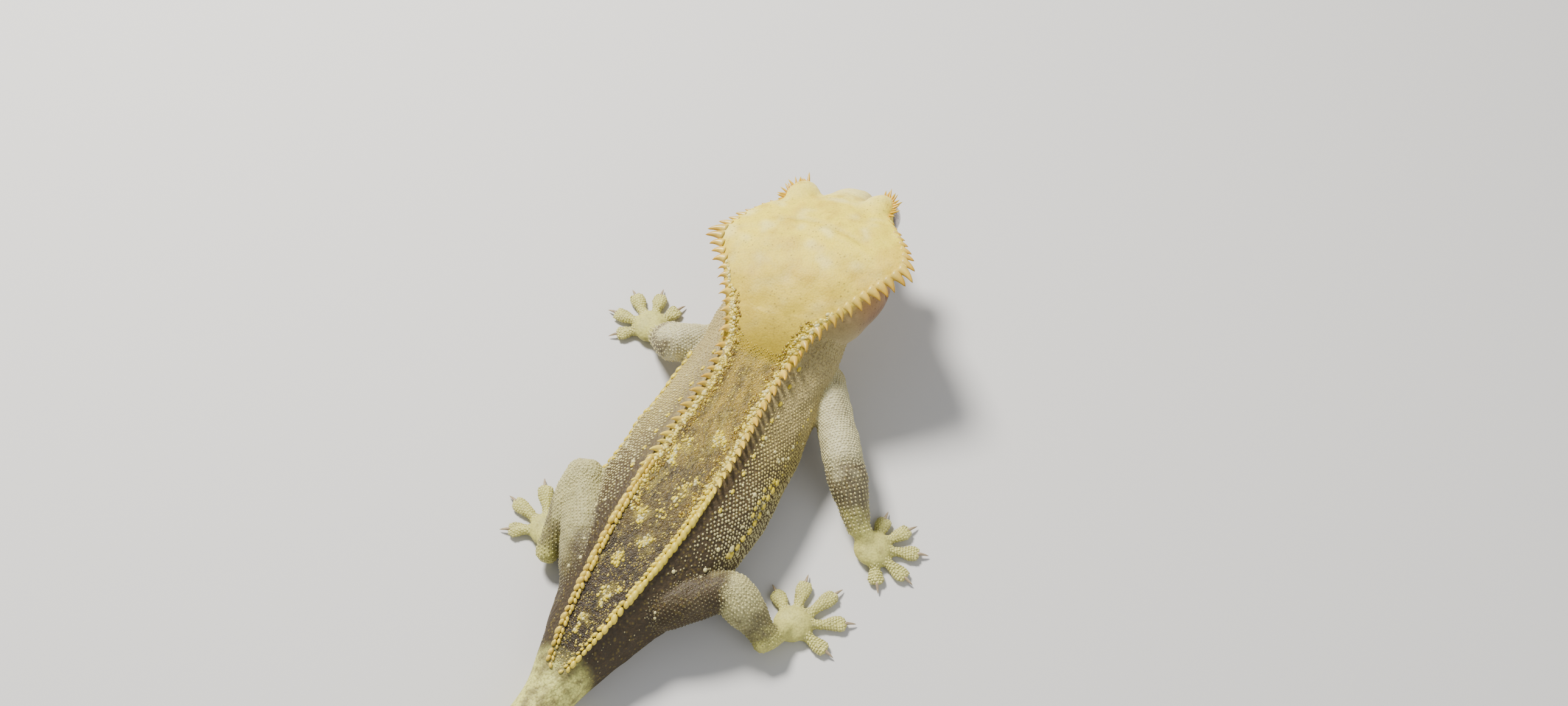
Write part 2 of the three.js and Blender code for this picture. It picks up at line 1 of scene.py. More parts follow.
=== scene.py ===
# A crested gecko, life size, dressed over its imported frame. Shapes are worked out in millimetres with
# +x to the animal's right, +y towards its head and +z up, and then set in the frame, where it faces -y.
import math
import bpy
import bmesh
import numpy as np
from mathutils import Matrix, Vector, noise
from mathutils.bvhtree import BVHTree
from mathutils.kdtree import KDTree


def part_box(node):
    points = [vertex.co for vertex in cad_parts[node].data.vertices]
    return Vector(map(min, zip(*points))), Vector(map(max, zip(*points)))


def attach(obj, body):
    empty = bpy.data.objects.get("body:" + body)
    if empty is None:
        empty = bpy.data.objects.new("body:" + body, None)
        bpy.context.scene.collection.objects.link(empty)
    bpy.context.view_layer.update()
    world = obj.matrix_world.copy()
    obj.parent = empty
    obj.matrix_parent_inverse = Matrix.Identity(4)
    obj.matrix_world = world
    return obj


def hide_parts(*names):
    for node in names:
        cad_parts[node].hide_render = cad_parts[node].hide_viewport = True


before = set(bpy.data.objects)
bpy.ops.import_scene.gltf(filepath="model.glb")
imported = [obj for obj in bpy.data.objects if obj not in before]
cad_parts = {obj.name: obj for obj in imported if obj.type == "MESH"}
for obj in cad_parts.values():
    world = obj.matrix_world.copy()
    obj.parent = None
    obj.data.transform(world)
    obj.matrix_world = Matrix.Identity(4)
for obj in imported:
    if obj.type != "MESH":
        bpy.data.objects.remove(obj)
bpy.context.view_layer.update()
rng = np.random.default_rng(11)
print("frame loaded:", len(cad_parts), "nodes")

mm = 0.001
snoutToVent = 115  # what most other sizes follow from

# Reading tables


def rowsAt(table, t):
    # a smooth curve through the rows, for an array of t from 0 to 1
    table = np.asarray(table, float)
    last = len(table) - 1
    at = np.clip(t, 0, 1) * last
    i = np.minimum(at.astype(int), last - 1)
    f = (at - i)[:, None]
    a, b, c, d = (table[np.clip(i + k, 0, last)] for k in (-1, 0, 1, 2))
    return b + 0.5 * f * (c - a + f * (2 * a - 5 * b + 4 * c - d + f * (3 * (b - c) + d - a)))


def lookUp(table, key, column):
    # straight between rows of a table whose first column only grows or only falls
    table = np.asarray(table, float)
    if table[0, 0] > table[-1, 0]:
        table = table[::-1]
    return np.interp(key, table[:, 0], table[:, column])


def smooth(low, high, value):
    t = np.clip((value - low) / (high - low), 0, 1)
    return t * t * (3 - 2 * t)


def bump(value, middle, width):
    return np.exp(-(((value - middle) / width) ** 2))


def unit(v):
    return v / np.maximum(np.linalg.norm(v, axis=-1, keepdims=True), 1e-9)


def onSection(angle, halfWidth, rise, drop, power):
    s, c = np.sin(angle), np.cos(angle)
    x = np.sign(s) * np.abs(s) ** (2 / power) * np.maximum(halfWidth, 0)
    z = np.sign(c) * np.abs(c) ** (2 / power) * np.maximum(np.where(c > 0, rise, drop), 0)
    return x, z


# Body: centre right, forward and up, half width, rise, drop, and the crest rows' way from the midline
body = {
    "power": 2.25,
    "ridge": 0.55,  # height of the fold that each crest row stands on
    "ridgeWidth": 0.15,
    "fullWidth": 8,  # half width from which that fold has its full height
    "rowShare": (0.18, 0.94),
    "rows": [
        (-1.3, 50, 20.0, 0, 0, 0, 0),
        (-1.1, 47, 19.3, 6.4, 4.2, 5.2, 4.8),
        (0.0, 41, 17.3, 11.6, 5.6, 7.4, 7.6),
        (0.5, 35, 14.4, 12.6, 6.2, 8.4, 6.2),
        (0.6, 28, 11.6, 13.2, 6.6, 10.2, 5.8),
        (0.8, 19, 9.4, 14.2, 7.6, 9.9, 5.9),
        (1.1, 8, 8.3, 15.2, 8.4, 8.9, 6.5),
        (1.2, -4, 7.9, 15.4, 8.6, 8.5, 6.6),
        (1.0, -14, 7.3, 13.7, 8.2, 7.9, 6.1),
        (0.6, -23, 6.7, 11.0, 7.2, 7.2, 5.0),
        (0.2, -31, 5.9, 8.2, 6.1, 6.3, 3.8),
        (-0.1, -38, 5.0, 6.0, 4.9, 5.4, 2.3),
        (-0.3, -45, 4.2, 4.3, 4.1, 4.6, 0.9),
        (-1.0, -54, 4.0, 4.2, 3.9, 4.4, 0.6),
        (-3.6, -68, 3.6, 3.8, 3.5, 4.0, 0.5),
        (-7.2, -83, 3.1, 3.2, 3.0, 3.4, 0.4),
        (-9.6, -98, 2.6, 2.6, 2.4, 2.9, 0.3),
        (-8.6, -112, 2.1, 2.0, 1.9, 2.4, 0.3),
        (-4.2, -124, 1.6, 1.6, 1.4, 1.9, 0.2),
        (0.6, -131, 1.2, 1.9, 1.1, 1.5, 0.2),
        (4.4, -135, 0.9, 1.5, 0.9, 1.2, 0.2),
        (6.6, -137, 0.8, 0, 0, 0, 0),
    ],
}


def bodyAxes(t):
    # which ways are right and up at each place along the body
    step = 0.002
    ahead, behind = (rowsAt(body["rows"], np.clip(t + k, 0, 1))[:, :3] for k in (-step, step))
    back = unit(behind - ahead)
    right = unit(np.cross([0, 0, 1], back))
    return right, np.cross(right, -back)


def rowAngle(rows):
    # the angle round the body at which the crest rows stand
    share = np.clip(rows[:, 6] / np.maximum(rows[:, 3], 0.1), *body["rowShare"])
    return np.arcsin(share ** (body["power"] / 2))


def bodyPoints(t, angle):
    rows = rowsAt(body["rows"], t)
    halfWidth, rise, drop = rows[:, 3:6].T
    right, up = bodyAxes(t)
    full = np.clip(halfWidth / body["fullWidth"], 0, 1)
    lift = bump(np.abs(angle), rowAngle(rows), body["ridgeWidth"]) * full
    x, z = onSection(angle, halfWidth, rise + body["ridge"] * lift, drop, body["power"])
    return rows[:, :3] + right * x[:, None] + up * z[:, None]


# The place along the body for each way forward
alongTable = np.linspace(0, 1, 2001)
forwardTable = rowsAt(body["rows"], alongTable)[:, 1]


def alongAt(forward):
    return np.interp(-np.asarray(forward, float), -forwardTable, alongTable)


# Head: distance behind the snout tip, height over the mouth, half width, rise, drop, bend to the right
headLength = 0.32 * snoutToVent
crestWidth = 0.305 * snoutToVent
headScale = headLength / 34
halfCrest = 0.5 * crestWidth / headScale
head = {
    "power": 2.3,
    "crownPower": 1.7,
    "place": (-0.7, 49.5, 26.0),
    "behindSnout": 25,
    "overMouth": 8.5,
    "turn": {"yaw": 9, "pitch": -15, "roll": -8},
    "rows": [
        (0, 0.4, 0, 0, 0, 0),
        (0.7, 0.4, 2.3, 1.6, 1.5, 0),
        (3, 0.5, 4.0, 3.4, 2.6, 0),
        (6, 0.6, 5.2, 4.6, 3.4, 0),
        (9, 0.8, 6.5, 5.8, 4.0, 0),
        (12, 1.0, 7.8, 6.7, 4.6, 0),
        (16, 1.1, 9.8, 7.2, 5.3, 0),
        (20, 1.5, 12.2, 6.9, 6.4, 0),
        (24, 1.8, 13.9, 6.4, 7.3, 0),
        (28, 1.6, 14.3, 5.8, 7.7, 0),
        (32, 0.7, 13.0, 5.2, 7.2, 0),
        (36, -0.8, 10.2, 4.0, 5.8, 0),
        (39, -2.4, 0, 0, 0, 0),
    ],
    "crown": [
        (7.5, 4.6, 0, 0, 0, 0),
        (9, 5.4, 0.36 * halfCrest, 0.8, 1.6, 0),
        (12, 6.6, 0.52 * halfCrest, 1.2, 2.4, 0),
        (16, 7.3, 0.68 * halfCrest, 1.4, 2.8, 0),
        (20, 7.4, 0.86 * halfCrest, 1.5, 3.2, 0),
        (24, 7.2, 0.98 * halfCrest, 1.6, 3.6, 0),
        (26.5, 6.8, halfCrest, 1.6, 3.8, 0),
        (29, 5.9, 0.91 * halfCrest, 1.6, 3.6, -0.2),
        (32, 4.6, 0.77 * halfCrest, 1.6, 3.2, -0.8),
        (35, 2.8, 0.63 * halfCrest, 1.6, 2.8, -1.6),
        (38, 0.7, 0.5 * halfCrest, 1.4, 2.8, -2.5),
        (41, -1.8, 0.41 * halfCrest, 1.2, 2.6, -3.3),
        (43.5, -4.4, 0.36 * halfCrest, 0.9, 2.2, -3.9),
        (45.5, -6.6, 0, 0, 0, -4.2),
    ],
}
eye = {"right": 7.6, "behind": 10.2, "over": 4.1, "radius": 0.032 * snoutToVent}
eye |= {"ahead": 26, "tilt": 12, "gap": 0.12}
brow = {"right": 7.0, "behind": 11.6, "over": 6.2, "along": 5.2, "across": 3.6, "tall": 2.3}
nostril = {"right": 1.9, "behind": 1.5, "over": 2.0, "width": 0.5, "deep": 0.75}
nostril |= {"rimAt": 0.95, "rimWidth": 0.3, "rim": 0.12}
ear = {"right": 14.0, "behind": 27.5, "over": 1.4, "along": 0.8, "tall": 1.5, "across": 2.5, "deep": 0.9}
mouthLine = [(-3, 0.5), (3, 0.1), (9, 0.2), (15, 0.8), (19, 1.1), (22, 1.0)]
headTurn = (
    Matrix.Rotation(math.radians(head["turn"]["yaw"]), 3, "Z")
    @ Matrix.Rotation(math.radians(head["turn"]["pitch"]), 3, "X")
    @ Matrix.Rotation(math.radians(head["turn"]["roll"]), 3, "Y")
)
headTurn = np.array(headTurn)


def onHead(right, behind, over):
    right, behind, over = np.broadcast_arrays(*(np.asarray(v, float) for v in (right, behind, over)))
    own = np.stack([right, head["behindSnout"] - behind, over - head["overMouth"]], axis=-1) * headScale
    return own @ headTurn.T + np.array(head["place"])


def fromHead(points):
    own = (points - np.array(head["place"])) @ headTurn / headScale
    return own[..., 0], head["behindSnout"] - own[..., 1], own[..., 2] + head["overMouth"]


def headPoints(table, power, grow=0.0):
    def place(t, angle):
        behind, over, halfWidth, rise, drop, bend = rowsAt(table, t).T
        x, z = onSection(angle, halfWidth + np.where(halfWidth > 1, grow, 0), rise, drop, power)
        return onHead(bend + x, behind, over + z)

    return place


def eyeAxis(side):
    # which way an eye looks: out, a little ahead and a little up
    ahead, tilt = math.radians(eye["ahead"]), math.radians(eye["tilt"])
    level = math.cos(tilt)
    return headTurn @ np.array([side * math.cos(ahead) * level, math.sin(ahead) * level, math.sin(tilt)])


def spotOn(feature, side):
    # where a feature of the head stands
    return onHead(side * feature["right"], feature["behind"], feature["over"])


# The frame's place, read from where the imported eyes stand
low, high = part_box("eye_left")
eyeInFrame = (np.array(low) + np.array(high)) / 2 / mm
shift = eyeInFrame + spotOn(eye, -1) * [1, 1, -1]


def toFrame(points):
    return (np.asarray(points) * [-1, -1, 1] + shift) * mm


print("frame shift in mm:", np.round(shift, 2))

# Camera, fitted to the outline of the animal in a picture 2576 wide and 1160 high
camera = {
    "azimuth": 31.52,
    "elevation": 58,
    "roll": -1.61,
    "middleX": 1125.2,  # where the animal's own origin falls in the picture
    "middleY": 837.9,
    "distance": 329.6,
    "focalPixels": 2900,
    "width": 2576,
    "height": 1160,
}


def makeCamera():
    a, e, r = (math.radians(camera[k]) for k in ("azimuth", "elevation", "roll"))
    right = np.array([math.cos(a), math.sin(a), 0])
    ahead = np.array([-math.sin(a) * math.cos(e), math.cos(a) * math.cos(e), -math.sin(e)])
    up = np.cross(right, ahead)
    rolledRight = math.cos(r) * right + math.sin(r) * up
    rolledUp = math.cos(r) * up - math.sin(r) * right
    aside = (camera["middleX"] - camera["width"] / 2) / camera["focalPixels"] * camera["distance"]
    below = (camera["middleY"] - camera["height"] / 2) / camera["focalPixels"] * camera["distance"]
    place = -(rolledRight * aside - rolledUp * below + ahead * camera["distance"])
    half = np.array([-1, -1, 1])
    axes = np.stack([rolledRight * half, rolledUp * half, -ahead * half], axis=1)
    data = bpy.data.cameras.new("camera")
    data.sensor_width = 36
    data.lens = camera["focalPixels"] / camera["width"] * data.sensor_width
    data.clip_start = 0.01
    obj = bpy.data.objects.new("camera", data)
    bpy.context.scene.collection.objects.link(obj)
    matrix = Matrix.Identity(4)
    for row in range(3):
        for column in range(3):
            matrix[row][column] = axes[row, column]
        matrix[row][3] = toFrame(place)[row]
    obj.matrix_world = matrix
    bpy.context.scene.camera = obj


makeCamera()

# Limbs: joint centres as right, forward, up, and where the palm and toes lie
limbs = {
    "arm_right": {
        "joints": [(12.0, 32.6, 9.6), (23.0, 19.2, 9.6), (30.4, 11.6, 3.5)],
        "palm": (34.4, 9.8, 1.5),
        "heading": 20,
        "angles": [78, 40, 4, -34, -74],
        "lengths": [7.2, 8.4, 9.0, 8.6, 7.2],
    },
    "arm_left": {
        "joints": [(-6.6, 32, 9.4), (-16.0, 24.6, 12.0), (-23.2, 28.4, 3.5)],
        "palm": (-26.8, 30.6, 1.5),
        "heading": 148,
        "angles": [-78, -40, -4, 34, 72],
        "lengths": [7.2, 8.4, 9.0, 8.6, 7.2],
    },
    "leg_right": {
        "joints": [(5.5, -24.5, 7.4), (18.4, -13.2, 9.8), (27.4, -16.0, 3.6)],
        "pale": (0.6, 0.85),
        "palm": (29.2, -10.4, 1.5),
        "heading": 62,
        "angles": [82, 42, 6, -30, -72],
        "lengths": [7.6, 9.2, 10.2, 10.0, 8.0],
    },
    "leg_left": {
        "joints": [(-5, -25.5, 7.4), (-15.8, -7.4, 11.2), (-16.2, -20.6, 3.6)],
        "pale": (0.2, 0.55),
        "palm": (-19.4, -16.6, 1.5),
        "heading": 130,
        "angles": [-80, -40, -2, 36, 76],
        "lengths": [7.6, 9.2, 10.0, 9.6, 7.8],
    },
}
# Round lengths of limb: share of the way along, and radius as a share of the limb's own
profiles = {
    "upperArm": [
        (-0.14, 0), (-0.08, 0.8), (0.15, 0.95), (0.5, 0.96), (0.85, 1.04), (1, 0.98), (1.12, 0.7), (1.17, 0)
    ],
    "forearm": [
        (-0.2, 0), (-0.12, 0.8), (0.1, 1.12), (0.35, 1.15), (0.65, 0.92), (1, 0.7), (1.12, 0.55), (1.18, 0)
    ],
    "thigh": [
        (-0.14, 0), (-0.08, 0.75), (0.2, 1.02), (0.5, 1.0), (0.82, 0.86), (1, 0.8), (1.1, 0.6), (1.14, 0)
    ],
    "shin": [
        (-0.2, 0), (-0.12, 0.85), (0.12, 1.1), (0.4, 1.06), (0.7, 0.82), (1, 0.66), (1.12, 0.5), (1.18, 0)
    ],
    "wrist": [(-0.5, 0), (-0.4, 0.7), (0, 1), (0.6, 0.9), (0.9, 0.6), (1, 0)],
}
limbRadius = {
    "upperArm": 0.031 * snoutToVent,
    "forearm": 0.028 * snoutToVent,
    "thigh": 0.0365 * snoutToVent,
    "shin": 0.03 * snoutToVent,
    "wrist": 1.9,
}
paw = {
    "palmRadius": 0.028 * snoutToVent * 1.1,
    "palmTall": 1.7,
    "palmSunk": 0.1,
    "padHalfWidth": 0.0135 * snoutToVent,
    "centreHeight": 0.75,
    # share of the toe's length, half width as a share of the pad's, half height
    "toe": [
        (0, 0, 0),
        (0.04, 0.6, 0.9),
        (0.3, 0.62, 0.95),
        (0.5, 0.58, 0.8),
        (0.68, 0.86, 0.68),
        (0.84, 1, 0.6),
        (0.95, 0.72, 0.5),
        (1, 0, 0),
    ],
}


def limbStretches(name, limb):
    # the two lengths of a limb: start, end, which way its joint bends, and its kind
    root, middle, end = (np.array(p, float) for p in limb["joints"])
    upper, lower = ("upperArm", "forearm") if name.startswith("arm") else ("thigh", "shin")
    return [(root, middle, middle - end, upper), (middle, end, root - middle, lower)]


def limbPoints(start, end, bendTowards, kind):
    axis = np.subtract(end, start)
    forward = unit(axis)
    side = unit(np.cross(forward, bendTowards))
    over = np.cross(side, forward)

    def place(t, angle):
        rows = rowsAt(profiles[kind], t)
        r = np.maximum(rows[:, 1], 0) * limbRadius[kind]
        points = np.array(start) + rows[:, :1] * axis
        return points + (r * np.sin(angle))[:, None] * side + (r * np.cos(angle))[:, None] * over

    return place


def toePoints(palm, degrees, length):
    turn = math.radians(degrees)
    out = np.array([math.cos(turn), math.sin(turn), 0])
    side = np.array([-out[1], out[0], 0])
    root = np.array([palm[0], palm[1], paw["centreHeight"]])

    def place(t, angle):
        rows = rowsAt(paw["toe"], t)
        tall = np.maximum(rows[:, 2], 0)
        x, z = onSection(angle, rows[:, 1] * paw["padHalfWidth"], tall, 1.6 * tall, 2)
        return root + rows[:, :1] * length * out + x[:, None] * side + z[:, None] * np.array([0, 0, 1.0])

    return place


# Mesh helpers


def loft(place, around, along, label):
    # a ball's own grid of points moved onto a form, with each point's label and place on it
    bm = bmesh.new()
    bmesh.ops.create_uvsphere(bm, u_segments=around, v_segments=along, radius=1)
    own = np.array([v.co for v in bm.verts])
    t = np.arccos(np.clip(own[:, 2], -1, 1)) / math.pi
    angle = np.arctan2(own[:, 0], own[:, 1])
    points = place(t, angle)
    points[:, 2] = np.maximum(points[:, 2], 0)
    for vert, point in zip(bm.verts, points):
        vert.co = point
    bmesh.ops.recalc_face_normals(bm, faces=bm.faces)
    return {"bm": bm, "points": points, "t": t, "angle": angle, "label": label}


def ball(centre, axes, sizes, label, around=32, along=24):
    # a ball with its own three directions and half sizes
    def place(t, angle):
        out = np.sin(math.pi * t)
        own = np.stack([out * np.sin(angle), out * np.cos(angle), np.cos(math.pi * t)], axis=1)
        return np.asarray(centre) + (own * np.asarray(sizes)) @ np.asarray(axes)

    return loft(place, around, along, label)


def ring(centre, axis, radius, thick, label):
    # a ring round an axis: a small circle spun once round
    bm = bmesh.new()
    bmesh.ops.create_circle(bm, cap_ends=False, segments=10, radius=thick)
    for vert in bm.verts:
        vert.co = Vector((radius + vert.co.x, 0, vert.co.y))
    geom = bm.verts[:] + bm.edges[:]
    whole = {"angle": 2 * math.pi, "steps": 48, "use_merge": True}
    bmesh.ops.spin(bm, geom=geom, cent=(0, 0, 0), axis=(0, 0, 1), **whole)
    turn = Vector((0, 0, 1)).rotation_difference(Vector(axis)).to_matrix().to_4x4()
    bmesh.ops.transform(bm, matrix=Matrix.Translation(Vector(centre)) @ turn, verts=bm.verts)
    bmesh.ops.remove_doubles(bm, verts=bm.verts, dist=1e-5)
    bmesh.ops.recalc_face_normals(bm, faces=bm.faces)
    points = np.array([v.co for v in bm.verts])
    zero = np.zeros(len(points))
    return {"bm": bm, "points": points, "t": zero, "angle": zero, "label": label}


def newObject(name, mesh):
    obj = bpy.data.objects.new(name, mesh)
    bpy.context.scene.collection.objects.link(obj)
    return obj


def setVertices(mesh, points):
    mesh.vertices.foreach_set("co", np.asarray(points, np.float32).ravel())
    mesh.update()


def getVertices(mesh):
    out = np.empty(len(mesh.vertices) * 3, np.float32)
    mesh.vertices.foreach_get("co", out)
    return out.reshape(-1, 3).astype(float)


def setColour(mesh, name, colours):
    layer = mesh.color_attributes.new(name, "FLOAT_COLOR", "POINT")
    rgba = np.ones((len(mesh.vertices), 4), np.float32)
    rgba[:, :3] = colours
    layer.data.foreach_set("color", rgba.ravel())


def setNumber(mesh, name, values):
    layer = mesh.attributes.new(name, "FLOAT", "POINT")
    layer.data.foreach_set("value", np.asarray(values, np.float32))


# Skin: every length of flesh as a fine closed form, joined, remeshed as one and smoothed
skin = {
    "voxel": 0.47,
    "smoothing": 2,
    "crownGrow": 1.2,  # makes up for what the smoothing takes off the crown's edge
    "lidRadius": 3.3,
    "lidThick": 0.55,
    # points round and along each form
    "grids": {
        "body": (112, 520),
        "head": (96, 96),
        "crown": (128, 96),
        "_upper": (40, 64),
        "_lower": (40, 56),
        "wrist": (28, 24),
        "toe": (20, 40),
    },
}


def skinForms():
    grids = skin["grids"]
    forms = [
        loft(bodyPoints, *grids["body"], "body"),
        loft(headPoints(head["rows"], head["power"]), *grids["head"], "head"),
        loft(headPoints(head["crown"], head["crownPower"], skin["crownGrow"]), *grids["crown"], "crown"),
    ]
    for side in (-1, 1):
        sizes = (brow["across"], brow["along"], brow["tall"])
        forms.append(ball(spotOn(brow, side), headTurn.T, sizes, "brow"))
        lidCentre = spotOn(eye, side) + eyeAxis(side) * math.sqrt(eye["radius"] ** 2 - skin["lidRadius"] ** 2)
        forms.append(ring(lidCentre, eyeAxis(side), skin["lidRadius"], skin["lidThick"], "lid"))
    for name, limb in limbs.items():
        stretches = limbStretches(name, limb)
        for stretch, part in zip(stretches, ("_upper", "_lower")):
            forms.append(loft(limbPoints(*stretch), *grids[part], name + part))
        pawLabel = name + "_paw"
        wrist, palm = stretches[1][1], np.array(limb["palm"], float)
        forms.append(loft(limbPoints(wrist, palm, (0, 0, 1), "wrist"), *grids["wrist"], pawLabel))
        flat = (paw["palmRadius"], paw["palmRadius"], paw["palmTall"])
        forms.append(ball(palm - [0, 0, paw["palmSunk"]], np.eye(3), flat, pawLabel))
        for angle, length in zip(limb["angles"], limb["lengths"]):
            forms.append(loft(toePoints(palm, limb["heading"] + angle, length), *grids["toe"], pawLabel))
    return forms


def joined(forms):
    whole = bmesh.new()
    for form in forms:
        mesh = bpy.data.meshes.new("form")
        form["bm"].to_mesh(mesh)
        whole.from_mesh(mesh)
        bpy.data.meshes.remove(mesh)
        form["bm"].free()
    return whole


def remeshed(whole, voxel):
    mesh = bpy.data.meshes.new("whole")
    whole.to_mesh(mesh)
    whole.free()
    obj = newObject("whole", mesh)
    modifier = obj.modifiers.new("remesh", "REMESH")
    modifier.mode = "VOXEL"
    modifier.voxel_size = voxel
    done = bpy.data.meshes.new_from_object(obj.evaluated_get(bpy.context.evaluated_depsgraph_get()))
    bpy.data.objects.remove(obj)
    bpy.data.meshes.remove(mesh)
    return done


forms = skinForms()
sources = [(form["label"], form["points"], form["t"], form["angle"]) for form in forms]
skinMesh = remeshed(joined(forms), skin["voxel"])
print("skin remeshed:", len(skinMesh.polygons), "faces")


def nearMouth(points):
    # how far each point stands from the line of the mouth, and how strongly the line runs there
    _, behind, over = fromHead(points)
    corner = mouthLine[-1][0]
    line = np.interp(behind, *zip(*mouthLine))
    runs = smooth(corner, corner - 3, behind) * (behind > -1.5)
    return np.abs(over - line) * headScale, runs


def refineFace(bm):
    # finer faces where the eyes, mouth, nostrils and ears are cut
    points = np.array([v.co for v in bm.verts])
    away, runs = nearMouth(points)
    wanted = (runs > 0) & (away < 0.9)
    for side in (-1, 1):
        for feature, reach in ((eye, eye["radius"] + 1.2), (nostril, 1.6), (ear, 2.4)):
            wanted |= np.linalg.norm(points - spotOn(feature, side), axis=1) < reach
    bm.verts.ensure_lookup_table()
    edges = [e for e in bm.edges if wanted[e.verts[0].index] and wanted[e.verts[1].index]]
    bmesh.ops.subdivide_edges(bm, edges=edges, cuts=1, use_grid_fill=True)
    bmesh.ops.triangulate(bm, faces=[f for f in bm.faces if len(f.verts) > 4])


def shapeSkin():
    bm = bmesh.new()
    bm.from_mesh(skinMesh)
    everyWay = {"use_axis_x": True, "use_axis_y": True, "use_axis_z": True}
    for _ in range(skin["smoothing"]):
        bmesh.ops.smooth_vert(bm, verts=bm.verts, factor=0.5, **everyWay)
    refineFace(bm)
    bmesh.ops.recalc_face_normals(bm, faces=bm.faces)
    bm.to_mesh(skinMesh)
    bm.free()


shapeSkin()


def nearestForms(points):
    # each point's nearest form: its label, and the place along and round it
    tree = KDTree(sum(len(s[1]) for s in sources))
    labels, ts, angles = [], [], []
    count = 0
    for label, formPoints, t, angle in sources:
        for point in formPoints:
            tree.insert(point, count)
            count += 1
        labels += [label] * len(formPoints)
        ts.append(t)
        angles.append(angle)
    tree.balance()
    found = np.array([tree.find(p)[1] for p in points])
    return np.array(labels)[found], np.concatenate(ts)[found], np.concatenate(angles)[found]


skinPoints = getVertices(skinMesh)
skinLabel, skinAlong, skinAngle = nearestForms(skinPoints)
skinNormal = np.empty(len(skinPoints) * 3, np.float32)
skinMesh.vertex_normals.foreach_get("vector", skinNormal)
skinNormal = skinNormal.reshape(-1, 3).astype(float)
print("skin places found:", len(skinPoints), "points")


def noiseAt(points, scale, offset=0.0, octaves=3):
    # soft seeded clouds, a scale in millimetres across
    away = Vector((offset, offset, 0))
    return np.array([noise.fractal(Vector(p) / scale + away, 1.0, 2.0, octaves) for p in points])


relief = {
    "crease": 0.28,
    "creaseAt": 20.5,
    "creaseWidth": 0.55,
    "creaseBend": 0.02,
    "crown": 0.3,
    "body": 0.32,
    "fold": 0.55,
    "foldAngle": 1.86,
    "foldWidth": 0.07,
    "limb": 0.16,
    "lip": 0.1,
    "mouth": 0.42,
}
faceForms = ["head", "crown", "brow", "lid"]


def creaseLine(right):
    return relief["creaseAt"] + relief["creaseBend"] * (right + 4) ** 2


def soften(points, normals):
    # the crease and low swells of the crown, and the loose skin of the neck, flanks and limbs
    right, behind, over = fromHead(points)
    isCrown = np.isin(skinLabel, ["crown", "brow"]) & (over > 2)
    line = creaseLine(right)
    crease = bump(behind, line, relief["creaseWidth"]) * smooth(10.5, 6, np.abs(right))
    crease = crease - 0.5 * bump(behind, line + 1.4, 0.8)
    swell = noiseAt(points, 4.5, 11.0, 2)
    move = isCrown * (relief["crown"] * swell - relief["crease"] * crease)
    isBody = skinLabel == "body"
    turn, forward = np.abs(skinAngle), points[:, 1]
    loose = isBody * smooth(0.6, 1.2, turn) * smooth(-40, -30, forward)
    move = move + loose * relief["body"] * noiseAt(points * [1, 0.45, 1], 2.6, 13.0, 3)
    fold = bump(turn, relief["foldAngle"] + 0.05 * np.sin(forward / 3), relief["foldWidth"])
    fold = fold * smooth(-24, -16, forward) * smooth(32, 24, forward)
    move = move - isBody * relief["fold"] * fold
    isLimb = ~(isBody | np.isin(skinLabel, faceForms))
    move = move + isLimb * relief["limb"] * noiseAt(points, 2.0, 17.0, 2)
    return points + normals * move[:, None]


def carveSkin(points, normals):
    # sockets behind the eyes, the mouth line, nostrils and ear pits
    points = soften(points, normals)
    for side in (-1, 1):
        axis = eyeAxis(side)
        deep = eye["radius"] + eye["gap"]
        own = points - spotOn(eye, side)
        along = own @ axis
        across = np.linalg.norm(own - along[:, None] * axis, axis=1)
        inside = np.linalg.norm(own, axis=1) < deep
        wall = -np.sqrt(np.maximum(deep**2 - across**2, 0))
        points += np.where(inside, wall - along, 0)[:, None] * axis
        hole = spotOn(nostril, side)
        near = bump(np.linalg.norm(points - hole, axis=1), 0, nostril["width"])
        points -= normals * (nostril["deep"] * near)[:, None]
        rim = bump(np.linalg.norm(points - hole, axis=1), nostril["rimAt"], nostril["rimWidth"])
        points += normals * (nostril["rim"] * rim)[:, None]
        own = (points - spotOn(ear, side)) @ headTurn
        across, along, tall = (own[:, k] / ear[way] for k, way in enumerate(("across", "along", "tall")))
        away = np.sqrt(along**2 + tall**2 + across**2)
        points -= normals * (ear["deep"] * bump(away, 0, 0.75))[:, None]
    away, runs = nearMouth(points)
    onFace = np.isin(skinLabel, faceForms)
    cut = bump(away, 0, 0.28) * runs * onFace
    lips = bump(away, 0.75, 0.35) * runs * onFace
    points += normals * (relief["lip"] * lips - relief["mouth"] * cut)[:, None]
    return points


skinPoints = carveSkin(skinPoints, skinNormal)
skinPoints[:, 2] = np.maximum(skinPoints[:, 2], 0)
print("skin carved")


# Colours, as light that a surface sends back


def srgb(r, g, b):
    c = np.array([r, g, b]) / 255
    return np.where(c <= 0.04045, c / 12.92, ((c + 0.055) / 1.055) ** 2.4)


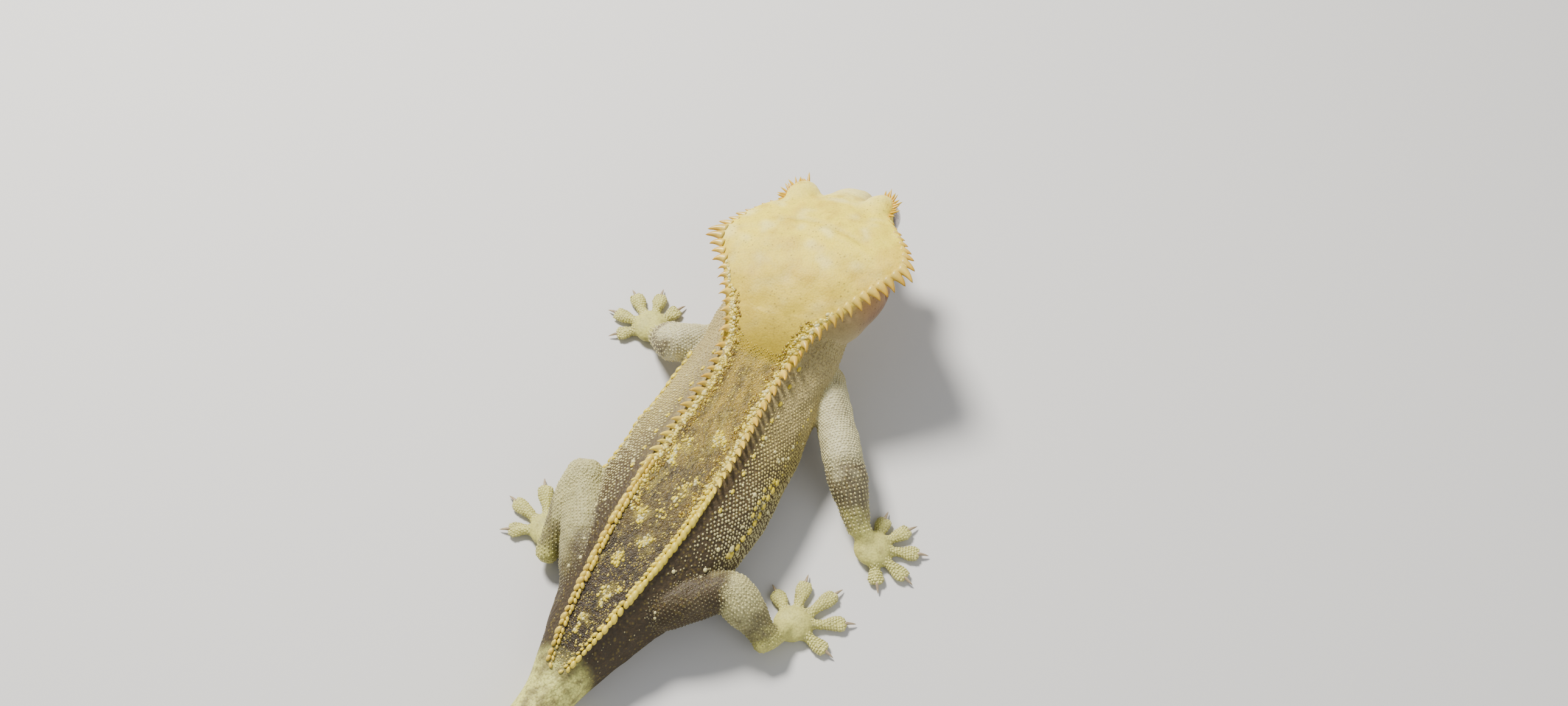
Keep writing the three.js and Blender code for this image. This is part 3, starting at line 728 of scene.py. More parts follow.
tones = {
    "snout": (0.92, 0.8, 0.26),
    "crown": (0.87, 0.7, 0.05),
    "crownOchre": (0.62, 0.42, 0.03),
    "nape": (0.42, 0.3, 0.014),
    "back": (0.24, 0.16, 0.012),
    "backMiddle": (0.085, 0.056, 0.008),
    # the back's own dark brown at the hips, darkened further as painted shade
    "backRear": (0.036, 0.023, 0.009),
    "amber": (0.2, 0.115, 0.004),
    "fleck": (0.74, 0.58, 0.08),
    "bead": (0.8, 0.62, 0.04),
    "beadTan": (0.5, 0.29, 0.04),
    "shoulder": (0.4, 0.32, 0.13),
    "flank": (0.09, 0.06, 0.022),
    "flankRear": (0.043, 0.028, 0.01),
    "belly": (0.38, 0.31, 0.17),
    "cheek": (0.2, 0.105, 0.05),
    "cheekTop": (0.46, 0.27, 0.1),
    "throat": (0.5, 0.41, 0.25),
    "arm": (0.56, 0.52, 0.3),
    "forearm": (0.13, 0.1, 0.05),
    "hand": (0.58, 0.55, 0.15),
    # the thigh's own dark brown, darkened further as painted shade
    "thigh": (0.053, 0.035, 0.013),
    "knee": (0.5, 0.46, 0.2),
    "tail": (0.7, 0.69, 0.19),
    "tailDark": (0.13, 0.1, 0.04),
    "white": (0.74, 0.66, 0.3),
    "mouth": (0.13, 0.055, 0.035),
}


def blend(a, b, share):
    share = np.asarray(share, float)[:, None]
    return np.asarray(a) * (1 - share) + np.asarray(b) * share


# Pale patches between the rows: forward, angle round the body, half length and half width in mm
palePatches = [
    (8.5, 0.12, 2.4, 1.3),
    (4, -0.14, 1.8, 1.0),
    (1, -0.16, 1.3, 0.8),
    (-3, 0.12, 2.4, 0.8),
    (-10.5, -0.14, 2.2, 1.2),
    (-14.5, 0.08, 1.9, 1.0),
    (-20, -0.12, 1.0, 0.7),
    (-25, 0.08, 1.9, 0.8),
    (-31, -0.06, 1.0, 0.6),
]


def patchAt(forward, angle, rows):
    share = np.zeros(len(forward))
    for middle, round, halfLength, halfWidth in palePatches:
        across = (angle - round) * 0.5 * (rows[:, 3] + rows[:, 4]) / halfWidth
        share = np.maximum(share, np.exp(-(((forward - middle) / halfLength) ** 2) - across**2))
    return share


# zones between the rows, darker towards the hips, the last one partly painted shade
backZones = [("back", 34, 20), ("backMiddle", 14, -2), ("backRear", -8, -24)]


def zoned(colour, zones, along):
    # tones that take over one after another, each between two places
    for tone, start, full in zones:
        colour = blend(colour, tones[tone], smooth(start, full, along))
    return colour


def bodyColours(points, t, angle):
    rows = rowsAt(body["rows"], t)
    forward = points[:, 1]
    coarse, fine = noiseAt(points, 6.0), noiseAt(points, 1.5, 7.0, 2)
    turn, edge = np.abs(angle), rowAngle(rows)
    middle = forward + 5 * coarse
    # between the rows: darker towards the hips, the back's own dark brown deepened there with painted shade,
    # amber beside the rows, dark streaks and pale patches
    back = zoned(tones["nape"], backZones, middle)
    amber = bump(turn / edge, 0.66, 0.16) * smooth(34, 22, forward) * smooth(-20, -6, forward)
    back = blend(back, np.array(tones["amber"]) * 0.6, amber * 0.8)
    streak = noiseAt(points * [1, 0.35, 1], 1.3, 31.0, 3)
    back = blend(back, back * 0.28, smooth(-0.08, 0.3, streak) * 0.8 * smooth(44, 34, forward))
    back = blend(back, tones["crownOchre"], smooth(-0.1, -0.5, streak) * 0.3 * smooth(-10, 10, forward))
    patch = smooth(0.45, 0.8, patchAt(forward, angle, rows) + 1.1 * streak)
    back = blend(back, tones["fleck"], patch * 0.3)
    inner = bump(turn / edge, 0.9, 0.14) * smooth(44, 38, forward) * smooth(-8, 4, forward)
    back = blend(back, tones["bead"], inner * smooth(-0.25, 0.25, fine) * 0.6)
    # flanks: pale at the shoulder, further back on the left, and dark at the hips and low down, with painted
    # shadow of the crest rows in a band just below them
    flank = blend(tones["shoulder"], tones["flank"], smooth(24, 6, middle + 9 * (angle < 0)))
    flank = blend(flank, tones["flankRear"], smooth(4, -16, middle))
    # painted shadow cast by the crest row on the flank just below it
    flank = blend(flank, tones["flankRear"], bump(turn, edge + 0.16, 0.14) * 0.55 * smooth(34, 10, forward))
    flank = blend(flank, tones["flankRear"], smooth(0.9, 1.7, turn) * smooth(20, 4, forward) * 0.75)
    colours = blend(flank, back, 1 - smooth(edge - 0.05, edge + 0.07, turn))
    colours = blend(colours, tones["belly"], smooth(1.95, 2.5, turn) * 0.85)
    tail = blend(tones["tail"], tones["tailDark"], smooth(0.02, 0.3, 0.5 * coarse + 0.7 * fine) * 0.8)
    return blend(colours, tail, smooth(-38, -41.5, forward - 1.5 * np.cos(angle)))


def headColours(points, label, angle):
    right, behind, over = fromHead(points)
    coarse, fine = noiseAt(points, 5.0, 3.0), noiseAt(points, 1.3, 9.0, 2)
    crown = blend(tones["snout"], tones["crown"], smooth(2, 15, behind + 3 * coarse))
    crown = blend(crown, tones["crownOchre"], smooth(-0.05, 0.45, coarse + 0.3 * fine) * 0.55)
    crown = blend(crown, tones["snout"], smooth(0.05, 0.5, noiseAt(points, 4.0, 21.0, 2)) * 0.7)
    # painted shade along the crown's crease
    crease = bump(behind, creaseLine(right), 0.5) * smooth(10.5, 6, np.abs(right))
    crown = blend(crown, tones["nape"], crease * 0.35)
    crown = blend(crown, tones["crownOchre"], smooth(22, 34, behind + 4 * coarse) * 0.6)
    crown = blend(crown, tones["nape"], smooth(36, 43, behind))
    side = blend(tones["cheek"], tones["throat"], smooth(0.5, -4.5, over))
    side = blend(side, tones["snout"], smooth(13, 6, behind) * smooth(-1, 2, over))
    rearRise = np.maximum(behind - 24, 0)
    side = blend(side, tones["cheekTop"], smooth(0.5, 4.5, over + 0.2 * rearRise) * 0.8)
    side = blend(side, tones["shoulder"], smooth(32, 38, behind) * 0.8)
    onTop = smooth(4.2, 6.2, over + 0.22 * rearRise + 0.35 * np.maximum(9 - behind, 0))
    onTop = np.where(label == "crown", smooth(1.78, 1.5, np.abs(angle)), onTop)
    onTop = np.where(label == "brow", 1, onTop)
    face = blend(side, crown, onTop)
    lid = blend(crown, tones["crownOchre"], np.full(len(points), 0.3))
    face = np.where((label == "lid")[:, None], lid, face)
    away, runs = nearMouth(points)
    return blend(face, tones["mouth"], bump(away, 0, 0.3) * runs * (over < 3))


def limbColours(points, label, t):
    coarse, fine = noiseAt(points, 4.0, 5.0), noiseAt(points, 1.2, 1.0, 2)
    colours = np.tile(tones["hand"], (len(points), 1)).astype(float)
    colours = blend(colours, tones["forearm"], smooth(0.05, 0.45, fine + 0.4 * coarse) * 0.3)
    for name, limb in limbs.items():
        if name.startswith("arm"):
            upper = blend(tones["arm"], tones["shoulder"], smooth(0.35, 0.1, t))
            lower = blend(tones["arm"], tones["forearm"], smooth(0.2, 0.4, t + 0.25 * coarse) * 0.9)
        else:
            # the dark thigh tone is partly painted shade
            upper = blend(tones["thigh"], tones["knee"], smooth(*limb["pale"], t + 0.2 * coarse))
            lower = blend(tones["knee"], tones["thigh"], smooth(0.4, 0.55, t + 0.2 * coarse) * 0.7)
        upper = blend(upper, tones["forearm"], smooth(0.0, 0.5, coarse) * 0.35)
        lower = blend(lower, tones["hand"], smooth(0.55, 0.8, t + 0.15 * fine))
        colours = np.where((label == name + "_upper")[:, None], upper, colours)
        colours = np.where((label == name + "_lower")[:, None], lower, colours)
    return colours


def skinColours(points, label, t, angle):
    onHeadForms = np.isin(label, faceForms)[:, None]
    colours = np.where(onHeadForms, headColours(points, label, angle), limbColours(points, label, t))
    return np.where((label == "body")[:, None], bodyColours(points, t, angle), colours)


def spread(mesh, values, rounds):
    # evens values over the mesh, so that zones meet softly
    edges = np.empty(len(mesh.edges) * 2, np.int32)
    mesh.edges.foreach_get("vertices", edges)
    a, b = edges.reshape(-1, 2).T
    count = np.bincount(a, minlength=len(values)) + np.bincount(b, minlength=len(values))
    for _ in range(rounds):
        total = np.zeros_like(values)
        np.add.at(total, a, values[b])
        np.add.at(total, b, values[a])
        values = 0.4 * values + 0.6 * total / np.maximum(count, 1)[:, None]
    return values


colours = spread(skinMesh, skinColours(skinPoints, skinLabel, skinAlong, skinAngle), 2)
isFace = np.isin(skinLabel, faceForms)
isPaw = np.char.endswith(skinLabel, "_paw")
scaleSize = np.where(isFace, 0.0, np.where(isPaw, 0.35, 1.0))
setVertices(skinMesh, toFrame(skinPoints))
setColour(skinMesh, "tint", colours)
setNumber(skinMesh, "coarse", spread(skinMesh, scaleSize[:, None], 6)[:, 0])
skinMesh.polygons.foreach_set("use_smooth", np.ones(len(skinMesh.polygons), bool))
skinObject = newObject("skin", skinMesh)
print("skin painted")

# Materials


class Value:
    # a socket that can be reckoned with
    def __init__(self, maker, socket):
        self.maker = maker
        self.socket = socket

    def maths(self, operation, *values):
        return self.maker.node("ShaderNodeMath", {"operation": operation}, dict(enumerate(values)))

    def __add__(self, other):
        return self.maths("ADD", self, other)

    def __sub__(self, other):
        return self.maths("SUBTRACT", self, other)

    def __rsub__(self, other):
        return self.maths("SUBTRACT", other, self)

    def __mul__(self, other):
        return self.maths("MULTIPLY", self, other)

    def __pow__(self, other):
        return self.maths("POWER", self, other)

    __radd__ = __add__
    __rmul__ = __mul__

    def between(self, low, high):
        # 0 below low and 1 above high, easing between them
        settings = {"interpolation_type": "SMOOTHSTEP", "clamp": True}
        sockets = {"Value": self, "From Min": low, "From Max": high}
        return self.maker.node("ShaderNodeMapRange", settings, sockets)


class Finish:
    def __init__(self, name, **base):
        self.material = bpy.data.materials.new(name)
        self.material.use_nodes = True
        self.tree = self.material.node_tree
        self.shader = self.tree.nodes["Principled BSDF"]
        for socket, value in base.items():
            self.set(socket.replace("_", " "), value)

    def node(self, kind, settings=None, sockets=None, out=0):
        made = self.tree.nodes.new(kind)
        for key, value in (settings or {}).items():
            setattr(made, key, value)
        for key, value in (sockets or {}).items():
            self.join(made.inputs[key], value)
        return Value(self, made.outputs[out])

    def join(self, socket, value):
        if isinstance(value, Value):
            self.tree.links.new(value.socket, socket)
        elif socket.type == "RGBA":
            socket.default_value = (*value, 1)[:4]
        else:
            socket.default_value = value

    def set(self, socket, value):
        self.join(self.shader.inputs[socket], value)

    def mix(self, share, a, b, kind="MIX"):
        settings = {"data_type": "RGBA", "blend_type": kind, "clamp_factor": True}
        return self.node("ShaderNodeMix", settings, {0: share, 6: a, 7: b}, out=2)

    def shaded(self, colour, shade):
        # a colour made darker or lighter by a number
        grey = self.node("ShaderNodeCombineColor", {}, {0: shade, 1: shade, 2: shade})
        return self.mix(1.0, colour, grey, "MULTIPLY")

    def lift(self, height, strength, distance):
        sockets = {"Strength": strength, "Distance": distance, "Height": height}
        self.set("Normal", self.node("ShaderNodeBump", {}, sockets))

    def coords(self):
        return self.node("ShaderNodeTexCoord", out=3)

    def attribute(self, name, out=0):
        return self.node("ShaderNodeAttribute", {"attribute_name": name}, out=out)

    def cells(self, size):
        # round cells of a size in millimetres: the distance from each one's middle
        sockets = {"Vector": self.coords(), "Scale": 1000 / size}
        return self.node("ShaderNodeTexVoronoi", {"feature": "F1"}, sockets)

    def clouds(self, size, detail=3.0):
        sockets = {"Vector": self.coords(), "Scale": 1000 / size, "Detail": detail}
        return self.node("ShaderNodeTexNoise", {}, sockets)


def skinFinish():
    f = Finish("skin", Subsurface_Weight=0.05, Subsurface_Scale=0.001, Specular_IOR_Level=0.4)
    f.set("Subsurface Radius", (1.0, 0.5, 0.3))
    tint = f.attribute("tint")
    coarse = f.attribute("coarse", out=2)
    grain, pebbles, pits = f.cells(0.4), f.cells(0.8), f.cells(0.95)
    cloud, wide = f.clouds(1.4), f.clouds(8.0, 2.0)
    colour = f.shaded(tint, 0.7 + 0.36 * cloud + 0.24 * wide)
    # painted shade in the grooves between the grains, and small brown dots in cloudy patches where the scales
    # are fine
    dark = f.mix(0.7, colour, (0.08, 0.045, 0.015))
    # the grooves between the grains darkened as painted shade
    colour = f.mix(grain.between(0.4, 0.8) * (0.16 + 0.4 * coarse), colour, dark)
    dotted = f.clouds(7.0, 2.0).between(0.42, 0.58)
    colour = f.mix((1 - pits.between(0.1, 0.26)) * (1 - coarse) * (0.15 + 0.5 * dotted), colour, dark)
    light = f.mix(0.35, colour, tones["fleck"])
    f.set("Base Color", f.mix(coarse * (1 - pebbles.between(0.1, 0.42)) * 0.35, colour, light))
    f.set("Roughness", 0.5 + 0.2 * cloud)
    height = (1 - grain * grain) * (0.22 + 0.2 * coarse) + coarse * (1 - pebbles * pebbles) * 0.7
    f.lift(height + 0.3 * cloud, 0.75, 0.00022)
    return f.material


def hornFinish():
    f = Finish("crest spine", Roughness=0.36, Subsurface_Weight=0.05, Subsurface_Scale=0.001)
    f.set("Subsurface Radius", (1.0, 0.6, 0.25))
    cloud = f.clouds(0.7)
    f.set("Base Color", f.shaded(f.attribute("tint"), 0.82 + 0.36 * cloud))
    f.lift(cloud, 0.35, 0.0001)
    return f.material


irisMap = 10  # millimetres over the whole of the eye's own map


def eyeFinish():
    # the iris is drawn on the eye's own map: across and up from where it looks
    f = Finish("eye", Roughness=0.08, Coat_Roughness=0.03, Specular_IOR_Level=0.5)
    f.set("Coat Weight", 1.0)
    own = f.node("ShaderNodeUVMap", {"uv_map": "iris"})
    across, up = (f.node("ShaderNodeSeparateXYZ", {}, {0: own}, out=k) - 0.5 for k in (0, 1))
    away = (across * across + up * up) ** 0.5
    swirl = {"Vector": own, "Scale": 26.0, "Detail": 5.0, "Distortion": 1.4}
    veins = f.node("ShaderNodeTexNoise", {}, swirl)
    iris = f.mix(veins.between(0.38, 0.66), tuple(srgb(142, 128, 122)), tuple(srgb(214, 200, 190)))
    iris = f.mix((1 - away.between(0.06, 0.14)) * 0.6, iris, tuple(srgb(168, 118, 74)))
    iris = f.mix(away.between(0.24, 0.31), iris, tuple(srgb(70, 58, 54)))
    slit = (across * across) ** 0.5 + 0.012 * veins + 0.35 * up * up
    f.set("Base Color", f.mix(1 - slit.between(0.022, 0.034), iris, (0.004, 0.003, 0.003)))
    return f.material


def clawFinish():
    f = Finish("claw", Roughness=0.3)
    cloud = f.clouds(0.8)
    f.set("Base Color", f.mix(cloud, tuple(srgb(120, 100, 78)), tuple(srgb(196, 178, 142))))
    return f.material


skinMaterial, hornMaterial = skinFinish(), hornFinish()
eyeMaterial, clawMaterial = eyeFinish(), clawFinish()
skinMesh.materials.append(skinMaterial)
flesh = [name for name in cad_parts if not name.startswith("eye_")]
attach(skinObject, "root")
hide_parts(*flesh)

# Eyes
def makeEye(name, side):
    bm = bmesh.new()
    bmesh.ops.create_uvsphere(bm, u_segments=64, v_segments=40, radius=eye["radius"])
    layer = bm.loops.layers.uv.new("iris")
    for face in bm.faces:
        face.smooth = True
        for loop in face.loops:
            loop[layer].uv = (0.5 + loop.vert.co.x / irisMap, 0.5 + loop.vert.co.y / irisMap)
    axis = Vector(eyeAxis(side))
    aside = Vector(headTurn @ np.array([0, 0, 1.0])).cross(axis).normalized()
    turn = Matrix((aside, axis.cross(aside).normalized(), axis)).transposed().to_4x4()
    halfTurn = Matrix.Diagonal((-1, -1, 1, 1))
    bmesh.ops.transform(bm, matrix=Matrix.Translation(Vector(spotOn(eye, side))) @ turn, verts=bm.verts)
    bmesh.ops.transform(bm, matrix=Matrix.Translation(Vector(shift)) @ halfTurn, verts=bm.verts)
    bmesh.ops.scale(bm, vec=(mm, mm, mm), verts=bm.verts)
    mesh = bpy.data.meshes.new(name + "_ball")
    bm.to_mesh(mesh)
    bm.free()
    mesh.materials.append(eyeMaterial)
    obj = newObject(name + "_ball", mesh)
    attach(obj, "root")
    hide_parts(name)


makeEye("eye_left", -1)
makeEye("eye_right", 1)
print("eyes made")

# Many small things: one small form repeated, each copy with its own place, axes and tints


def smallForm(bm):
    bmesh.ops.remove_doubles(bm, verts=bm.verts, dist=1e-4)
    bmesh.ops.recalc_face_normals(bm, faces=bm.faces)
    bmesh.ops.triangulate(bm, faces=bm.faces)
    bm.verts.index_update()
    points = np.array([v.co for v in bm.verts])
    faces = np.array([[v.index for v in f.verts] for f in bm.faces])
    bm.free()
    return points, faces


def thornForm(segments, rings, fullness=0.6):
    # a thorn along z from 0 to 1, of radius 1 at its root, closed at its tip
    bm = bmesh.new()
    bmesh.ops.create_cone(bm, cap_ends=True, segments=segments, radius1=1, radius2=1, depth=1)
    upright = [e for e in bm.edges if abs(e.verts[0].co.z - e.verts[1].co.z) > 0.5]
    bmesh.ops.subdivide_edges(bm, edges=upright, cuts=rings - 1)
    for vert in bm.verts:
        high = vert.co.z + 0.5
        wide = max(1 - high, 0) ** fullness
        vert.co = (vert.co.x * wide, vert.co.y * wide, high)
    return smallForm(bm)


def beadForm(segments, rings):
    # a ball of radius 1, whose height z is told as from 0 to 1 in the tints
    bm = bmesh.new()
    bmesh.ops.create_uvsphere(bm, u_segments=segments, v_segments=rings, radius=1)
    return smallForm(bm)


def gathered(stack):
    # one long array of each kind from many short ones
    return [np.concatenate(v) for v in zip(*stack)]


def axesFrom(along, out, sizes):
    # three directions of a small form: across, along and out, each as long as its half size
    out = unit(out)
    across = unit(np.cross(along, out))
    ways = (across, np.cross(out, across), out)
    return np.stack([way * size[:, None] for way, size in zip(ways, sizes)], axis=1)


# half the width of each copy's patch on the map for baking, and how its two tints meet up its height
copies = {"patch": 0.0015, "tintPower": 1.1, "lowest": 0.02, "sink": 0.25, "overFloor": 0.45}


def repeated(name, form, roots, axes, tints, material=None, unwrap=None, bend=None):
    # axes: for each copy three scaled directions, for the form's x, y and z
    own, faces = form
    lowest = own[:, 2].min()
    height = (own[:, 2] - lowest) / (own[:, 2].max() - lowest)
    count = len(roots)
    points = roots[:, None, :] + np.einsum("vk,ckj->cvj", own, axes)
    if bend is not None:
        points += (height**2)[None, :, None] * np.broadcast_to(bend, (count, 3))[:, None, :]
    points = points.reshape(-1, 3)
    points[:, 2] = np.maximum(points[:, 2], copies["lowest"])
    allFaces = (faces[None] + np.arange(count)[:, None, None] * len(own)).reshape(-1, 3)
    mesh = bpy.data.meshes.new(name)
    mesh.from_pydata(toFrame(points).tolist(), [], allFaces.tolist())
    # the foot tint runs into the top tint up each copy's height; on beads and grains the darker foot is
    # painted shade
    base, tip = (np.broadcast_to(tint, (count, 3)) for tint in tints)
    share = (height ** copies["tintPower"])[None, :, None]
    setColour(mesh, "tint", (base[:, None, :] * (1 - share) + tip[:, None, :] * share).reshape(-1, 3))
    mesh.polygons.foreach_set("use_smooth", np.ones(len(mesh.polygons), bool))
    if unwrap is not None:
        layer = mesh.uv_layers.new(name="OFBake")
        corner = np.repeat(unwrap, len(own), axis=0) + np.tile(own[:, :2], (count, 1)) * copies["patch"]
        loops = np.empty(len(mesh.loops), np.int32)
        mesh.loops.foreach_get("vertex_index", loops)
        layer.data.foreach_set("uv", np.clip(corner[loops], 0.001, 0.999).astype(np.float32).ravel())
    mesh.materials.append(material or hornMaterial)
    obj = newObject(name, mesh)
    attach(obj, "root")


skinFaces = [tuple(p.vertices) for p in skinMesh.polygons]
skinTree = BVHTree.FromPolygons([Vector(p) for p in skinPoints], skinFaces)


def onSkin(points, reach):
    # the nearest place on the skin and its direction out, where it is near enough
    found = [skinTree.find_nearest(Vector(p), reach) for p in points]
    keep = np.array([f[0] is not None for f in found])
    place = np.array([f[0] if f[0] is not None else (0, 0, 0) for f in found])
    normal = np.array([f[1] if f[1] is not None else (0, 0, 1) for f in found])
    return place, normal, keep


def bodyMap(forward, angle):
    # the body's own unwrap: lengthwise along u, and round it along v
    return np.stack([(55 - forward) / 200, 0.5 + np.asarray(angle) / 6.6], axis=1)


def scatter(name, form, points, lie, sizes, tints, unwrap, reach=0.8, tilt=0.3):
    # small forms laid on the skin: lie is the way they point, sizes are half sizes across, along and out
    place, normal, keep = onSkin(points, reach)
    keep &= place[:, 2] > copies["overFloor"]
    lie, base, tip = (np.broadcast_to(v, points.shape)[keep] for v in (lie, *tints))
    place, normal, unwrap = place[keep], normal[keep], unwrap[keep]
    sizes = [np.broadcast_to(s, len(points))[keep] for s in sizes]
    flat = unit(lie - normal * (lie * normal).sum(1)[:, None])
    out = unit(normal - flat * tilt)
    roots = place - normal * (sizes[2] * copies["sink"])[:, None]
    repeated(name, form, roots, axesFrom(flat, out, sizes), (base, tip), unwrap=unwrap)


# Crest: thorns round the crown and down the neck, which shorten to a rope of beads along the back
crest = {
    "edgeGrow": 1.035,
    "edgeRise": 0.15,
    "step": 1.75,
    "root": 0.5,
    "vary": (0.88, 1.12),
    "lean": (0.3, 0.5),
    "neck": (44, 38),  # behind this the thorns lean back more and every other one is shorter
    "neckLean": 0.4,
    "neckShorter": 0.2,
    "droop": 0.12,
    "warm": (0, 16),  # ahead of this the tips are orange
    "crownEdge": [14, 16, 18, 20, 22, 24, 25.5, 26.8, 28.2, 30, 32, 34, 36.5, 39, 41, 42.5],
    "rowPlaces": [20, 13, 7, 1, -5, -11, -17, -23, -28, -33, -37, -40.5],
    # behind the snout: length, half width along the row, half width across it, in mm
    "sizes": [
        (14, 0.7, 0.42, 0.34),
        (18, 0.9, 0.5, 0.4),
        (21, 1.3, 0.66, 0.52),
        (23.5, 2.1, 0.86, 0.7),
        (25.5, 2.9, 1.0, 0.8),
        (28, 3.0, 1.0, 0.82),
        (32, 2.7, 0.98, 0.8),
        (37, 2.4, 0.92, 0.74),
        (43, 2.2, 0.9, 0.7),
        (54, 1.9, 0.86, 0.64),
        (66, 1.45, 0.84, 0.6),
        (76, 1.1, 0.8, 0.6),
    ],
    "base": (0.78, 0.58, 0.1),
    "tip": (0.55, 0.27, 0.001),
    "tipPale": (0.8, 0.62, 0.07),
    "thornsEnd": -7,
}


def curveThrough(points, step):
    # evenly spaced points on a smooth curve, and its direction at each
    t = np.linspace(0, 1, 4000)
    fine = rowsAt(points, t)
    length = np.concatenate([[0], np.cumsum(np.linalg.norm(np.diff(fine, axis=0), axis=1))])
    count = int(round(length[-1] / step))
    at = np.interp(np.linspace(0, length[-1], count + 1), length, t)
    ahead, behind = (rowsAt(points, np.clip(at + k, 0, 1)) for k in (1e-3, -1e-3))
    return rowsAt(points, at), unit(ahead - behind)


def crownEdgePoint(side, behind):
    over, halfWidth, bend = (lookUp(head["crown"], behind, column) for column in (1, 2, 5))
    return onHead(bend + side * (crest["edgeGrow"] * halfWidth), behind, over + crest["edgeRise"])


def crestLine(side, inward=0.0):
    # along the crown's edge and on down the back, or a little nearer the midline there
    onEdge = [crownEdgePoint(side, b) for b in crest["crownEdge"]]
    t = alongAt(crest["rowPlaces"])
    rows = rowsAt(body["rows"], t)
    onBack = bodyPoints(t, side * (rowAngle(rows) - inward / (0.5 * (rows[:, 3] + rows[:, 4]))))
    return np.vstack([onEdge, onBack])


def crestFrame(here, along, side):
    # outward from the body's own middle, and the way each thorn points
    middle = rowsAt(body["rows"], alongAt(np.minimum(here[:, 1], 49)))[:, :3]
    out = unit((here - middle) * [1, 1, 0])
    onCrown = smooth(26, 42, here[:, 1])[:, None]
    away = unit(np.array([side, 0, 0]) * (1 - 0.5 * onCrown) + out * 0.5 * onCrown)
    lift = 0.1 + 0.75 * (1 - onCrown)
    return away, unit(away * (0.65 + 0.35 * onCrown) + np.array([0, 0, 1]) * lift + 0.1 * along)


def makeThorns():
    stack = []
    for side in (-1, 1):
        here, along = curveThrough(crestLine(side), crest["step"])
        keep = here[:, 1] > crest["thornsEnd"]
        here, along = here[keep], along[keep]
        count = len(here)
        _, direction = crestFrame(here, along, side)
        length, wideAlong, wideAcross = (lookUp(crest["sizes"], fromHead(here)[1], k) for k in (1, 2, 3))
        onNeck = smooth(*crest["neck"], here[:, 1])
        shorter = np.where(np.arange(count) % 2, 1 - crest["neckShorter"] * onNeck, 1)
        vary = rng.uniform(*crest["vary"], count) * shorter
        length = length * vary
        axes = axesFrom(along, direction, [wideAcross * vary, wideAlong * vary, length + crest["root"]])
        lean = rng.uniform(*crest["lean"], count) + crest["neckLean"] * onNeck
        bend = along * (length * lean)[:, None] - np.array([0, 0, 1]) * (crest["droop"] * length)[:, None]
        warm = smooth(*crest["warm"], here[:, 1]) * rng.uniform(0.7, 1, count)
        tip = blend(crest["tipPale"], crest["tip"], warm)
        shade = rng.uniform(0.85, 1.05, count)[:, None]
        root = here - direction * crest["root"]
        stack.append((root, axes, shade * np.array(crest["base"]), shade * tip, bend))
    roots, axes, base, tip, bend = gathered(stack)
    repeated("crest_thorns", thornForm(12, 8), roots, axes, (base, tip), bend=bend)


makeThorns()

# Rope: overlapping beads which take over from the thorns along the back
rope = {
    "step": 1.32,
    "start": -1,
    "halfLength": 0.98,
    "halfWidth": 0.6,
    "halfHeight": 0.56,
    "slant": 0.4,
    "slantVary": (0.3, 1.6),
    "vary": (0.8, 1.18),
    "hips": (-42, -20, 0.28),  # the beads thin out by this share between these places
    "leanOut": (0.55, 0.25),
    "innerGap": 0.7,  # how far the inner strand of smaller beads lies from the outer one
    "innerSize": 0.66,
    "innerStep": 0.8,
    "tan": {-1: 0.85, 1: 0.12},  # the left row is browner
}


def makeRope():
    stack = []
    for side in (-1, 1):
        for strand in (0, 1):
            step = rope["step"] * (rope["innerStep"] if strand else 1)
            here, along = curveThrough(crestLine(side, rope["innerGap"] * strand), step)
            halfway = (here[:-1] + np.roll(here, -1, axis=0)[:-1]) / 2
            here, along = halfway if strand else here[:-1], along[:-1]
            keep = here[:, 1] < rope["start"]
            here, along = here[keep], along[keep]
            count = len(here)
            away, _ = crestFrame(here, along, side)
            *hips, less = rope["hips"]
            thin = (1 - less) + less * smooth(*hips, here[:, 1])
            thin = thin * rng.uniform(*rope["vary"], count) * (rope["innerSize"] if strand else 1)
            slant = rope["slant"] * rng.uniform(*rope["slantVary"], count)[:, None] * (-1 if strand else 1)
            lie = unit(along + away * slant)
            out = unit(np.array([0, 0, 1]) + away * rope["leanOut"][strand] + 0.3 * along)
            sizes = [thin * rope[k] for k in ("halfWidth", "halfLength", "halfHeight")]
            tan = rope["tan"][side] * rng.uniform(0.5, 1, count)
            tint = blend(tones["bead"], tones["beadTan"], tan)
            tint = tint * rng.uniform(0.85, 1.08, count)[:, None]
            # each bead darker at its foot as painted shade and paler on top as painted light
            pale = blend(tint, tones["fleck"], np.full(count, 0.45)) * 1.08
            here = here + along * rng.normal(0, 0.12, (count, 1)) + out * 0.15
            stack.append((here, axesFrom(lie, out, sizes), tint * 0.75, pale))
    roots, axes, base, tip = gathered(stack)
    repeated("crest_rope", beadForm(10, 7), roots, axes, (base, tip))


makeRope()

# Clusters: small shining pale scales on the inner side of each row, and amber ones next to them
# of each kind: how many by each thorn, nearest and furthest inwards, size, and tints of its foot and top
clusters = {
    "cluster_scales": (11, 0.1, 1.5, 0.29, "fleck", "white"),
    "amber_scales": (13, 1.2, 2.7, 0.2, "amber", "bead"),
}


clusterRange = {"from": 39, "to": -9, "crown": 35, "crownShare": 0.6}


